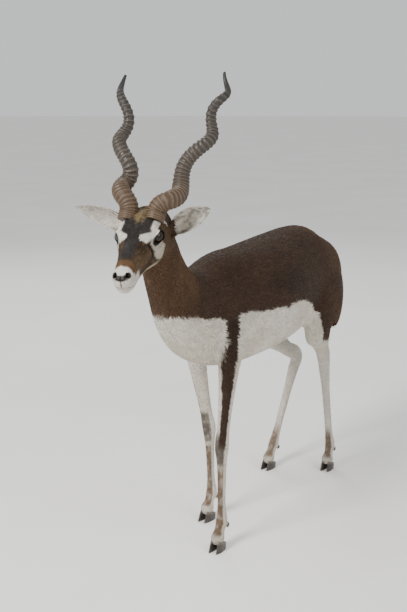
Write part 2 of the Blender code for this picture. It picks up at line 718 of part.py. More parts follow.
def ear(name, side, collection):
    """A leaf rolled into a cup. Across it runs an arc, from a near circle at the root to almost flat.

    At share u the arc has half angle b(u) and half width w(u), so its radius is w / sin(min(b, 90)).
    The inside is the same arc drawn in by the ear's thickness, and it fills up towards the root.
    """
    u = np.linspace(0.0, 1.0, EAR_ALONG)
    half = read_row(EAR_HALF_WIDTH, u)
    bend = np.radians(read_row(EAR_BEND, u))
    radius = half / np.sin(np.minimum(bend, math.pi / 2))
    v = np.linspace(-1.0, 1.0, EAR_ACROSS)
    angle = bend[:, None] * v[None, :]
    thick = EAR_THICK * np.interp(u, [0.0, 0.7, 1.0], [1.0, 0.75, 0.25])
    outer = np.stack([radius[:, None] * np.sin(angle), radius[:, None] * np.cos(angle)], 2)
    inner_radius = np.maximum(radius - thick, radius * 0.3)
    inner_angle = angle * (1.0 - 0.08 * thick / EAR_THICK)[:, None]
    inner = np.stack([inner_radius[:, None] * np.sin(inner_angle), inner_radius[:, None] * np.cos(inner_angle)], 2)
    flat = outer[:, :, :].copy()
    flat[:, :, 1] = outer[:, :1, 1] + (outer[:, :, 1] - outer[:, :1, 1]) * 0.06
    hollow = np.clip((u - 0.06) / 0.16, 0.0, 1.0)
    hollow = (hollow * hollow * (3 - 2 * hollow))[:, None, None]
    inner = flat * (1 - hollow) + inner * hollow
    ring = np.concatenate([outer, inner[:, ::-1]], axis=1)
    middle = ring.mean(axis=1, keepdims=True)
    ring[:, :, 1] -= (radius * np.cos(np.minimum(bend, 1.6)) * 0.5)[:, None] + middle[:, :, 1] * 0.0
    axis = EAR_AXES[side].normalized()
    opens = Vector((side * EAR_OPENS.x, EAR_OPENS.y, EAR_OPENS.z))
    opens = (opens - axis * opens.dot(axis)).normalized()
    across = axis.cross(opens).normalized()
    root = np.array(EAR_ROOTS[side])
    curl = 0.010 * u**2
    points = (
        root
        + np.array(axis) * (u * EAR_LENGTH[side])[:, None, None]
        + np.array(across) * ring[:, :, 0:1]
        - np.array(opens) * (ring[:, :, 1:2] - curl[:, None, None])
    )
    sides = points.shape[1]
    ends = [points[0].mean(axis=0), points[-1].mean(axis=0)]
    points = np.vstack([points.reshape(-1, 3), ends])
    return object_of(name, mesh_of(name, placed(points, head_matrix()), grid_faces(EAR_ALONG, sides)), collection)


def claw(name, coronet, side, yaw, collection):
    """One pointed hoof: its sole is flat on the ground, its inner wall is nearly flat and its toe is low.

    The outline is drawn at five heights, each a little shorter and further back than the one below.
    """
    outline = np.array(
        (
            (0.0, -0.62), (0.32, -0.50), (0.62, -0.28), (0.86, 0.02), (0.94, 0.26),
            (0.72, 0.40), (0.10, 0.42), (-0.42, 0.40), (-0.86, 0.30), (-0.98, 0.05), (-0.90, -0.26), (-0.48, -0.50),
        )
    )
    outline[:, 0] *= -1
    levels = ((0.0, 0.93, 0.0), (0.0016, 1.0, 0.0), (0.35, 0.93, 0.10), (0.72, 0.86, 0.19), (1.0, 0.74, 0.25))
    rings = []
    for number, (height, size, back) in enumerate(levels):
        z = height if number == 1 else height * CLAW_HEIGHT
        plan = outline * np.array((CLAW_WIDTH / 2, CLAW_LENGTH)) * np.array((size**0.5, size))
        plan[:, 1] += back * CLAW_LENGTH * 0.55
        drop = 0.0 if number < 2 else 0.42 * height * CLAW_HEIGHT
        tall = z - drop * np.clip((outline[:, 1] + 0.62) / 1.04, 0, 1)
        rings.append(np.column_stack([plan[:, 0] * side, plan[:, 1], tall]))
    points = np.vstack(rings + [rings[0].mean(axis=0)[None], rings[-1].mean(axis=0)[None] + (0, 0, 0.001)])
    points[:, 0] += side * (CLAW_WIDTH / 2 + 0.0014)
    place = Matrix.Translation((coronet[0], coronet[1], 0.0)) @ Matrix.Rotation(math.radians(yaw), 4, "Z")
    faces = grid_faces(len(levels), len(outline))
    return object_of(name, mesh_of(name, placed(points, place), faces), collection)


TAIL = (
    Station(0.0, 0.400, 0.704, 0.0150, 0.0150, 0.0150),
    Station(0.0, 0.424, 0.700, 0.0145, 0.0140, 0.0140),
    Station(0.0, 0.442, 0.676, 0.0140, 0.0110, 0.0110),
    Station(0.0, 0.450, 0.640, 0.0135, 0.0100, 0.0100),
    Station(0.0, 0.452, 0.600, 0.0125, 0.0100, 0.0100),
    Station(0.0, 0.450, 0.570, 0.0100, 0.0085, 0.0085),
    Station(0.0, 0.447, 0.548, 0.0050, 0.0045, 0.0045),
)


def body_flesh(collection):
    """Trunk, neck, head and four legs fused into one body."""
    shells = [tube(list(TRUNK.values()), (0, 0, 1), sides=56, per_gap=6), head_shell()]
    soft = []
    for name, joints in LIMBS.items():
        flesh = FORE_FLESH if name.startswith("fore") else HIND_FLESH
        shells.append(tube(limb_stations(joints, flesh), (0, -1, 0), LEG_SIDES, 5))
        shells.extend(dewclaws(joints))
        soft.extend((joints[joint], reach) for joint, reach in JOIN_POINTS.items() if joint in joints)
    soft.extend([((0.0, 0.400, 0.660), 0.110), ((0.0, 0.300, 0.700), 0.120)])
    body = fused(joined("body", shells, collection), FUSE_VOXEL)
    ironed(body.data, 6)
    points, _ = mesh_arrays(body.data)
    weight = np.zeros(len(points))
    for centre, reach in soft:
        weight = np.maximum(weight, nearness(points, [centre], reach))
    relaxed(body.data, 36, 0.5 * weight[:, None])
    return body


def neck_plane(name):
    """A point on the neck's own line and the way the neck runs there."""
    names = list(TRUNK)
    here = names.index(name)
    before, at, after = (Vector(TRUNK[names[i]][:3]) for i in (here - 1, here, here + 1))
    return at, (after - before).normalized()


def head_flesh(collection):
    """The head fused finely with the upper end of the neck, and cut off a little below the neck's plane."""
    names = list(TRUNK)
    upper = [TRUNK[name] for name in names[names.index("neck root") :]]
    balls = []
    for side in (1, -1):
        points, faces = ball((0, 0, 0), (EYE_RADIUS + 0.0030,) * 3, 20, 14)
        balls.append((placed(points, eye_frame(side)), faces))
    shells = [tube(upper, (0, 0, 1), 48, 7), head_shell()] + balls
    head = fused(joined("head", shells, collection), 0.0021)
    ironed(head.data, 4)
    points, _ = mesh_arrays(head.data)
    throat = placed([(0.0, 0.010, -0.050), (0.030, 0.010, -0.045), (-0.030, 0.010, -0.045)], head_matrix())
    relaxed(head.data, 50, 0.5 * nearness(points, throat, 0.042)[:, None])
    at, along = neck_plane("upper neck")
    return cut(head, block("above", at - along * 0.006, along, collection, (0.7, 0.7), 0.7), "INTERSECT")


def painted(name, colour, roughness):
    """A plain material with a colour, not metal."""
    material = bpy.data.materials.new(name)
    material.use_nodes = True
    shader = material.node_tree.nodes["Principled BSDF"]
    shader.inputs["Base Color"].default_value = (*colour, 1.0)
    shader.inputs["Roughness"].default_value = roughness
    shader.inputs["Metallic"].default_value = 0.0
    return material


def build():
    for old in list(bpy.data.objects):
        bpy.data.objects.remove(old)
    scene = bpy.context.scene
    scene.unit_settings.system = "METRIC"
    collection = scene.collection
    nodes = {}

    body = body_flesh(collection)
    at, along = neck_plane("upper neck")
    thinned(body, BODY_TRIANGLES)
    cut(body, block("above", at, along, collection, (0.7, 0.7), 0.7, GAP))
    low_at, low_along = neck_plane("lower neck")
    neck = cut(
        copy_of(body, "neck", collection), block("neck", low_at, low_along, collection, (0.7, 0.7), 0.7), "INTERSECT"
    )
    nodes["neck"] = largest_only(neck)
    cut(body, block("neck", low_at, low_along, collection, (0.7, 0.7), 0.7, GAP))
    for name, row in LEG_CUTS.items():
        taker = leg_block(name, row, collection)
        nodes[name] = largest_only(cut(copy_of(body, name, collection), taker, "INTERSECT"))
        cut(body, leg_block(name, row, collection, GAP))
    body.name = "torso"
    nodes["torso"] = largest_only(body)

    head = head_flesh(collection)
    thinned(head, HEAD_TRIANGLES)
    cut(head, block("above", at, along, collection, (0.7, 0.7), 0.7), "INTERSECT")
    grown = swollen(head, GAP, collection)
    for side, label in ((1, "left"), (-1, "right")):
        grown_copy = copy_of(grown, "grown", collection)
        nodes["horn_" + label] = largest_only(cut(horn("horn_" + label, side, collection), grown_copy))
        grown_copy = copy_of(grown, "grown", collection)
        nodes["ear_" + label] = largest_only(cut(ear("ear_" + label, side, collection), grown_copy))
    bpy.data.objects.remove(grown)
    cut(head, mouth_cutter(head, collection))
    for side, label in ((1, "left"), (-1, "right")):
        cut(head, nostril_cutter(side, collection))
        opening = almond(*EYE_OPENING)
        cut(head, prism("opening", opening, 0.004, 0.034, eye_frame(side), collection, 1.25))
        cut(head, eye_ball("socket", side, EYE_RADIUS + GAP, collection))
        nodes["eye_" + label] = eye_ball("eye_" + label, side, EYE_RADIUS, collection)
    nodes["head"] = largest_only(head)

    tail = joined("tail", [tube(TAIL, (0, 1, 0), 12, 2)], collection)
    nodes["tail"] = largest_only(cut(tail, swollen(nodes["torso"], GAP, collection)))

    for name, joints in LIMBS.items():
        left = 1 if name.endswith("left") else -1
        for side, place in ((1, "outer"), (-1, "inner")):
            label = f"hoof_{name.split('_')[0]}_{name.split('_')[2]}_{place}"
            made = claw(label, joints["coronet"], side * left, -left * TOE_OUT * -1, collection)
            nodes[label] = made
            cut(nodes[name], swollen(made, GAP, collection))
        largest_only(nodes[name])

    hide = painted("hide", (0.090, 0.050, 0.028), 0.75)
    bright = painted("pale hide", (0.62, 0.56, 0.48), 0.75)
    horn_stuff = painted("horn", (0.115, 0.085, 0.060), 0.55)
    hoof_stuff = painted("hoof", (0.030, 0.024, 0.020), 0.50)
    wet = painted("eye", (0.012, 0.008, 0.006), 0.08)
    for name, node in nodes.items():
        node.name = name
        node.data.name = name
        node.data.materials.clear()
        kind = name.split("_")[0]
        node.data.materials.append({"horn": horn_stuff, "hoof": hoof_stuff, "eye": wet, "ear": bright}.get(kind, hide))

    low = np.min([np.min([v.co for v in n.data.vertices], axis=0) for n in nodes.values()], axis=0)
    high = np.max([np.max([v.co for v in n.data.vertices], axis=0) for n in nodes.values()], axis=0)
    shift = np.array((-(low[0] + high[0]) / 2, -(low[1] + high[1]) / 2, -low[2]))
    for node in nodes.values():
        points, _ = mesh_arrays(node.data)
        node.data.vertices.foreach_set("co", (points + shift).ravel())
        node.data.update()
    for other in list(bpy.data.objects):
        if other.name not in nodes:
            bpy.data.objects.remove(other)
    print("shift", np.round(shift, 4).tolist(), "size", np.round(high - low, 4).tolist())
    return shift


build()
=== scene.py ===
# %% [markdown]
# # A male blackbuck, life size, standing still
#
# The animal is a museum type of model: a skin with a short coat, two ringed horns, two eyes and eight
# claws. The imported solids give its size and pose. This script lays a finer skin inside the solids of
# flesh, and then dresses it.
#
# Two ways were open. The solids could be smoothed and painted, or the skin could be lofted again from
# the same named sizes. The second way keeps lids, lips and nostrils sharp, so it was chosen.

import math

import bmesh
import bpy
import numpy as np
from mathutils import Matrix, Vector


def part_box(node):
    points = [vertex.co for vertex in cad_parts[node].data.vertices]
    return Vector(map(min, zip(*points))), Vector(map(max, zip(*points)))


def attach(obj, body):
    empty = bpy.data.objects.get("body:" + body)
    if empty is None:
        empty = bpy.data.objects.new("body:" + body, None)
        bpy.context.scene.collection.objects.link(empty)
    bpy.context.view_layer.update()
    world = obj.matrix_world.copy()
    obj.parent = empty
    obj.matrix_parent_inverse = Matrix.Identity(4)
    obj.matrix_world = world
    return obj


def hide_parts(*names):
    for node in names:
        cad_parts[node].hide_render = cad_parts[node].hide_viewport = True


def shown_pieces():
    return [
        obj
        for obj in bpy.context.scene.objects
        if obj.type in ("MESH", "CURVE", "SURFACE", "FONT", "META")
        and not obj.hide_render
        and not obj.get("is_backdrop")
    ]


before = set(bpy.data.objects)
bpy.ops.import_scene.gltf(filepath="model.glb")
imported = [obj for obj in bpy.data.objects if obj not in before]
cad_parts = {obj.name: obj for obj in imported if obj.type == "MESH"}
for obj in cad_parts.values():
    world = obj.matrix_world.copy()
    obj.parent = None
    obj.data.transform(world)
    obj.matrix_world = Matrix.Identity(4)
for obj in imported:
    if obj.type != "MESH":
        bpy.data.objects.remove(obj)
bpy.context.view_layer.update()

# %% [markdown]
# ## The animal's own frame
#
# The lofts are written in the animal's frame: it faces -Y, its left is +X and the floor is z = 0. The
# head has a frame of its own at the occiput, turned, nodded and tilted on the neck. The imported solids
# were moved so that their box is centred, so one shift carries the one frame into the other. It is
# measured from the eye, whose centre both know.

# %% Set the head's frame and the shift
HEAD_AT = Vector((0.0472, -0.6481, 0.9073))
HEAD_YAW, HEAD_PITCH, HEAD_ROLL = 16.9, 20.4, -1.1
EYE_RADIUS = 0.0166
EYE_AT = (0.0368, -0.0850, 0.0180)
EYE_LOOKS = (0.79, -0.58, 0.18)
EYE_OPENING = (0.0155, 0.0090)

HEAD = (
    Matrix.Translation(HEAD_AT)
    @ Matrix.Rotation(math.radians(HEAD_YAW), 4, "Z")
    @ Matrix.Rotation(math.radians(HEAD_PITCH), 4, "X")
    @ Matrix.Rotation(math.radians(HEAD_ROLL), 4, "Y")
)
HEAD_NP = np.array(HEAD)
eye_low, eye_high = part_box("eye_left")
SHIFT = np.array((eye_low + eye_high) / 2 - HEAD @ Vector(EYE_AT))
SHIFT[2] = 0.0
print("shift from the animal's frame to the solids", np.round(SHIFT, 4))


def from_head(points):
    """Head coordinates turned and moved into the animal's frame."""
    return np.asarray(points, float) @ HEAD_NP[:3, :3].T + HEAD_NP[:3, 3]


def to_head(points):
    """The way back: animal's frame into head coordinates."""
    return (np.asarray(points, float) - HEAD_NP[:3, 3]) @ HEAD_NP[:3, :3]


def head_axes(h):
    """Of points in the head's frame: distance from the middle, distance forward and height."""
    return np.abs(h[:, 0]), -h[:, 1], h[:, 2]


def mirrored(place, side):
    """A place on the left, or for side -1 its mirror image."""
    return (side * place[0], place[1], place[2])


# %% [markdown]
# ## Smooth readings and lofts
#
# A body is a row of stations: a centre, and how far the flesh reaches sideways, up and down there.
# A cubic runs through the rows. Round each station goes an oval whose corners are a little full, and
# the rings together are a tube. All rings are worked out as one array.

# %% Write the loft
def unit(rows):
    """Each row divided by its own length."""
    return rows / np.linalg.norm(rows, axis=1)[:, None]


def round_turns(count):
    """The angles of even steps round a circle."""
    return np.arange(count) * 2 * math.pi / count


def powered(value, power):
    """The size of the value to a power, with the value's own sign."""
    return np.sign(value) * np.abs(value) ** power


def cubic(t, span, low, high, low_slope, high_slope):
    """From low at t = 0 to high at t = 1, with a slope at each end of a gap that is span long."""
    return (
        (2 * t**3 - 3 * t**2 + 1) * low
        + (t**3 - 2 * t**2 + t) * span * low_slope
        + (3 * t**2 - 2 * t**3) * high
        + (t**3 - t**2) * span * high_slope
    )


def smooth_rows(rows, per_gap):
    """Rows read from a curve: each gap is a cubic with the slopes of the parabola through three rows."""
    rows = np.array(rows, float)
    steps = np.maximum(np.linalg.norm(np.diff(rows[:, :3], axis=0), axis=1), 1e-6)
    slopes = np.gradient(rows, np.concatenate([[0.0], np.cumsum(steps)]), axis=0)
    gap = np.repeat(np.arange(len(rows) - 1), per_gap)
    t = np.tile(np.arange(per_gap) / per_gap, len(rows) - 1)[:, None]
    found = cubic(t, steps[gap][:, None], rows[gap], rows[gap + 1], slopes[gap], slopes[gap + 1])
    return np.vstack([found, rows[-1:]])


def read_row(rows, at):
    """A short table read with a cubic between its rows."""
    rows = np.array(rows, float)
    slopes = np.gradient(rows[:, 1], rows[:, 0])
    at = np.clip(at, rows[0, 0], rows[-1, 0])
    gap = np.clip(np.searchsorted(rows[:, 0], at, side="right") - 1, 0, len(rows) - 2)
    span = rows[gap + 1, 0] - rows[gap, 0]
    t = (at - rows[gap, 0]) / span
    return cubic(t, span, rows[gap, 1], rows[gap + 1, 1], slopes[gap], slopes[gap + 1])


def read_table(table, at):
    """A table read along straight lines between its rows."""
    return np.interp(at, *np.array(table).T)


def grid_quads(rings, sides):
    """The quads between each ring of points and the next."""
    i, j = (a.ravel() for a in np.meshgrid(np.arange(rings - 1), np.arange(sides), indexing="ij"))
    k = (j + 1) % sides
    return np.stack([i * sides + j, i * sides + k, (i + 1) * sides + k, (i + 1) * sides + j], 1)


def ring_faces(rings, sides):
    """Quads between rings, and a fan from each end's middle point. The two middle points come last."""
    a = np.arange(sides)
    b = (a + 1) % sides
    last = (rings - 1) * sides
    start = np.stack([np.full(sides, rings * sides), b, a], 1)
    end = np.stack([np.full(sides, rings * sides + 1), last + a, last + b], 1)
    return grid_quads(rings, sides).tolist() + start.tolist() + end.tolist()


def tube(stations, facing, sides, per_gap, squareness=0.94):
    """A loft: point = centre + side * reach * cos(turn) + up * height * sin(turn), both powers < 1."""
    rows = smooth_rows(stations, per_gap)
    centre = rows[:, :3]
    along = unit(np.gradient(centre, axis=0))
    side = unit(np.cross(np.array(facing, float), along))
    up = np.cross(along, side)
    turn = round_turns(sides)
    across, rise = powered(np.cos(turn), squareness), powered(np.sin(turn), squareness)
    height = np.where(rise[None, :] > 0, rows[:, 4:5], rows[:, 5:6]) * rise[None, :]
    points = (
        centre[:, None, :]
        + side[:, None, :] * (rows[:, 3:4] * across[None, :])[:, :, None]
        + up[:, None, :] * height[:, :, None]
    )
    return np.vstack([points.reshape(-1, 3), centre[:1], centre[-1:]]), ring_faces(len(rows), sides)


# %% [markdown]
# ## Meshes from arrays
#
# A mesh is made from points and faces. One whose faces point inwards renders dark and can't be cut,
# so the normals of each new shell are made to point outwards. Joins and cuts are modifiers, and the
# mesh that comes out of them takes the old one's place.

# %% Write the mesh helpers
def linked(name, data):
    """A new object of this data, in the scene."""
    piece = bpy.data.objects.new(name, data)
    bpy.context.scene.collection.objects.link(piece)
    return piece


def mesh_piece(name, points, faces, outward=True):
    """A new mesh from points and faces, with its normals turned outwards if that is asked."""
    mesh = bpy.data.meshes.new(name)
    corners = faces if isinstance(faces, list) else faces.tolist()
    mesh.from_pydata(np.asarray(points, float).tolist(), [], corners)
    mesh.update()
    if outward:
        bm = bmesh.new()
        bm.from_mesh(mesh)
        bmesh.ops.recalc_face_normals(bm, faces=bm.faces)
        bm.to_mesh(mesh)
        bm.free()
    return linked(name, mesh)


def applied(piece):
    """The piece with its modifiers worked into the mesh."""
    bpy.context.view_layer.update()
    graph = bpy.context.evaluated_depsgraph_get()
    mesh = bpy.data.meshes.new_from_object(piece.evaluated_get(graph))
    piece.modifiers.clear()
    piece.data = mesh
    return piece


def joined(name, shells):
    """Several shells as one mesh: each shell's faces count on from the points before it."""
    points, faces, start = [], [], 0
    for shell_points, shell_faces in shells:
        points.append(shell_points)
        faces.extend([[i + start for i in face] for face in shell_faces])
        start += len(shell_points)
    return mesh_piece(name, np.vstack(points), faces)


def fused(piece, voxel):
    """One closed surface over shells that overlap, on a grid of the voxel's size."""
    remesh = piece.modifiers.new("fuse", "REMESH")
    remesh.mode = "VOXEL"
    remesh.voxel_size = voxel
    return applied(piece)


def triangles_of(mesh):
    """The number of triangles that the faces make."""
    mesh.calc_loop_triangles()
    return len(mesh.loop_triangles)


def thinned(piece, triangles):
    """Edges are collapsed until the share wanted triangles / triangles now is left."""
    collapse = piece.modifiers.new("thin", "DECIMATE")
    collapse.ratio = min(1.0, triangles / triangles_of(piece.data))
    collapse.use_collapse_triangulate = True
    return applied(piece)


def cut(piece, other, operation="DIFFERENCE"):
    """Takes the other closed mesh away from the piece, or adds it."""
    boolean = piece.modifiers.new("cut", "BOOLEAN")
    boolean.operation = operation
    boolean.solver = "MANIFOLD"
    boolean.object = other
    applied(piece)
    bpy.data.objects.remove(other)
    return piece


def flat_read(items, key, width, kind=float):
    """One value of every item, as rows of that width."""
    found = np.empty(len(items) * width, kind)
    items.foreach_get(key, found)
    return found.reshape(-1, width)


def points_of(mesh):
    """The mesh's points, one a row."""
    return flat_read(mesh.vertices, "co", 3)


def set_points(mesh, points):
    """Writes the points back into the mesh."""
    mesh.vertices.foreach_set("co", points.ravel())
    mesh.update()


def smoothed(piece):
    """Shades the piece's faces as one round surface."""
    piece.data.polygons.foreach_set("use_smooth", np.ones(len(piece.data.polygons), bool))
    return piece


def relaxed(mesh, rounds, strength):
    """Each round moves every point by strength towards the mean of its neighbours."""
    points, edges = points_of(mesh), flat_read(mesh.edges, "vertices", 2, int)
    one, two = edges.ravel(), edges[:, ::-1].ravel()
    count = np.maximum(np.bincount(one, minlength=len(points)), 1)[:, None]
    for _ in range(rounds):
        mean = np.stack([np.bincount(one, points[two, axis], len(points)) for axis in range(3)], 1) / count
        points += strength * (mean - points)
    set_points(mesh, points)


def ironed(mesh, rounds):
    """Takes the grid's steps out and keeps the volume: in by 0.50, and out again by 0.52."""
    for _ in range(rounds):
        relaxed(mesh, 1, 0.50)
        relaxed(mesh, 1, -0.52)


def hump(value, reach):
    """exp(-(value / reach)^2), which is 1 where the value is 0."""
    return np.exp(-((value / reach) ** 2))


def nearness(points, centre, reach):
    """A hump of the distance from the centre."""
    return hump(np.linalg.norm(points - np.array(centre), axis=1), reach)


# %% [markdown]
# ## Trunk, neck and limbs
#
# The stations are the same as in the solids, so the skin keeps their outline. The limbs follow their
# joints, and the flesh between two joints is read from one table for the fore legs and one for the
# hind legs. Small horny lumps sit behind each fetlock. The finer grid here keeps tendons and the edge
# of the hock clear.

# %% State the sizes of trunk and limbs
TRUNK = (
    (0.000, 0.430, 0.690, 0.022, 0.026, 0.034),
    (0.000, 0.414, 0.688, 0.056, 0.052, 0.070),
    (0.000, 0.372, 0.668, 0.094, 0.101, 0.118),
    (0.000, 0.290, 0.640, 0.114, 0.155, 0.128),
    (0.000, 0.180, 0.634, 0.116, 0.169, 0.140),
    (0.000, 0.080, 0.634, 0.128, 0.164, 0.156),
    (0.000, -0.030, 0.632, 0.137, 0.159, 0.159),
    (0.000, -0.140, 0.630, 0.128, 0.157, 0.158),
    (0.000, -0.230, 0.630, 0.113, 0.158, 0.154),
    (0.000, -0.310, 0.638, 0.099, 0.144, 0.144),
    (0.002, -0.385, 0.658, 0.085, 0.112, 0.128),
    (0.007, -0.450, 0.694, 0.070, 0.084, 0.108),
    (0.016, -0.510, 0.744, 0.056, 0.060, 0.088),
    (0.028, -0.565, 0.802, 0.049, 0.050, 0.072),
    (0.040, -0.611, 0.860, 0.045, 0.046, 0.062),
    (0.048, -0.651, 0.903, 0.042, 0.044, 0.045),
    (0.056, -0.690, 0.926, 0.030, 0.030, 0.024),
)
LIMBS = {
    "fore_leg_left": {
        "blade": (0.050, -0.225, 0.715),
        "arm": (0.077, -0.302, 0.610),
        "elbow": (0.073, -0.320, 0.498),
        "carpus": (0.061, -0.338, 0.288),
        "fetlock": (0.060, -0.337, 0.074),
        "coronet": (0.060, -0.358, 0.030),
    },
    "fore_leg_right": {
        "blade": (-0.050, -0.225, 0.715),
        "arm": (-0.080, -0.285, 0.610),
        "elbow": (-0.082, -0.228, 0.498),
        "carpus": (-0.060, -0.193, 0.272),
        "fetlock": (-0.060, -0.180, 0.074),
        "coronet": (-0.060, -0.204, 0.030),
    },
    "hind_leg_left": {
        "hip": (0.068, 0.280, 0.700),
        "thigh": (0.084, 0.262, 0.600),
        "stifle": (0.092, 0.205, 0.500),
        "hock": (0.058, 0.335, 0.362),
        "fetlock": (0.083, 0.345, 0.074),
        "coronet": (0.084, 0.326, 0.030),
    },
    "hind_leg_right": {
        "hip": (-0.068, 0.280, 0.700),
        "thigh": (-0.084, 0.262, 0.590),
        "stifle": (-0.096, 0.205, 0.476),
        "hock": (-0.064, 0.392, 0.338),
        "fetlock": (-0.082, 0.268, 0.074),
        "coronet": (-0.084, 0.238, 0.030),
    },
}
LOWER_FLESH = (
    ("fetlock", 0.00, 0.0165, 0.0145, 0.0185),
    ("fetlock", 0.50, 0.0142, 0.0128, 0.0150),
    ("coronet", 0.00, 0.0178, 0.0175, 0.0170),
)
FORE_FLESH = (
    ("blade", 0.00, 0.0180, 0.0400, 0.0450),
    ("arm", 0.00, 0.0310, 0.0600, 0.0760),
    ("elbow", 0.00, 0.0270, 0.0430, 0.0350),
    ("elbow", 0.35, 0.0220, 0.0270, 0.0200),
    ("elbow", 0.80, 0.0175, 0.0180, 0.0160),
    ("carpus", 0.00, 0.0195, 0.0190, 0.0190),
    ("carpus", 0.22, 0.0145, 0.0135, 0.0150),
    ("carpus", 0.55, 0.0115, 0.0115, 0.0140),
    ("carpus", 0.85, 0.0125, 0.0120, 0.0150),
) + LOWER_FLESH
HIND_FLESH = (
    ("hip", 0.00, 0.0320, 0.0800, 0.1000),
    ("thigh", 0.00, 0.0420, 0.1080, 0.1200),
    ("stifle", 0.00, 0.0350, 0.0660, 0.0860),
    ("stifle", 0.32, 0.0270, 0.0420, 0.0520),
    ("stifle", 0.70, 0.0190, 0.0240, 0.0290),
    ("hock", 0.00, 0.0180, 0.0230, 0.0320),
    ("hock", 0.13, 0.0165, 0.0190, 0.0240),
    ("hock", 0.32, 0.0135, 0.0140, 0.0175),
    ("hock", 0.60, 0.0122, 0.0125, 0.0150),
    ("hock", 0.88, 0.0130, 0.0130, 0.0155),
) + LOWER_FLESH
JOIN_REACH = {"elbow": 0.060, "stifle": 0.080, "thigh": 0.140, "hip": 0.110, "arm": 0.110}
TAIL = (
    (0.0, 0.400, 0.704, 0.0150, 0.0150, 0.0150),
    (0.0, 0.424, 0.700, 0.0145, 0.0140, 0.0140),
    (0.0, 0.442, 0.676, 0.0140, 0.0110, 0.0110),
    (0.0, 0.450, 0.640, 0.0135, 0.0100, 0.0100),
    (0.0, 0.452, 0.600, 0.0125, 0.0100, 0.0100),
    (0.0, 0.450, 0.570, 0.0100, 0.0085, 0.0085),
    (0.0, 0.447, 0.548, 0.0050, 0.0045, 0.0045),
)
LEG_END = (0.0170, 0.0120, 0.0120, 0.0130)  # height of the flesh's end in the claws, and its reaches
SPUR_AT = (0.0085, 0.0165, -0.0130)  # the horny lump behind a fetlock
SPUR_HALF = (0.0080, 0.0065, 0.0100)
SPUR_DARK_AT = (0.0085, 0.0175, -0.0145)
RUMP_SOFT = (((0.0, 0.400, 0.660), 0.110), ((0.0, 0.300, 0.700), 0.120))
BODY_GRID, HEAD_GRID = 0.0037, 0.0016
BODY_TRIANGLES, HEAD_TRIANGLES = 98000, 76000


def limb_stations(joints, flesh):
    """The loft's stations down one limb: each lies a share of the way from its joint to the next."""
    names = list(joints)
    rows = []
    for name, share, side, front, back in flesh:
        following = joints[names[min(names.index(name) + 1, len(names) - 1)]]
        rows.append((*Vector(joints[name]).lerp(Vector(following), share), side, front, back))
    rows.append((rows[-1][0], rows[-1][1] - 0.001, *LEG_END))
    return rows


def ball(at, half, sides=24, rings=16):
    """An oval ball: rings of a circle whose radius is sin(lean) and whose height is cos(lean)."""
    lean = np.linspace(0, math.pi, rings + 1)[1:-1, None]
    turn = round_turns(sides)
    ring = np.stack([np.sin(lean) * np.cos(turn), np.sin(lean) * np.sin(turn), np.cos(lean) + 0 * turn], 2)
    points = np.vstack([ring.reshape(-1, 3), [[0, 0, 1.0]], [[0, 0, -1.0]]])
    return points * np.array(half) + np.array(at), ring_faces(rings - 1, sides)


# %% Fuse the body and smooth its joins
def body_flesh():
    """Trunk, limbs and a rough head as one surface, relaxed most where limbs join."""
    shells = [tube(TRUNK, (0, 0, 1), 96, 10), head_shell(56, 6)]
    soft = list(RUMP_SOFT)
    for name, joints in LIMBS.items():
        flesh = FORE_FLESH if name.startswith("fore") else HIND_FLESH
        shells.append(tube(limb_stations(joints, flesh), (0, -1, 0), 40, 9))
        for side in (-1, 1):
            shells.append(ball(np.array(joints["fetlock"]) + mirrored(SPUR_AT, side), SPUR_HALF, 16, 12))
        soft.extend((joints[j], reach) for j, reach in JOIN_REACH.items() if j in joints)
    body = fused(joined("body", shells), BODY_GRID)
    ironed(body.data, 6)
    points = points_of(body.data)
    weight = np.max([nearness(points, centre, reach) for centre, reach in soft], axis=0)
    relaxed(body.data, 46, 0.5 * weight[:, None])
    return body


# %% [markdown]
# ## The head
#
# The head gets the most care. It is a loft of its own, from the occiput to the nose, on which bumps
# set the brow, the cheek bone, the jaw muscle, the hollow before it, the gland by the eye, the wings
# of the nose and the lips. It is fused on a grid of 1.6 mm together with two balls that carry the
# eyelids and the upper neck.

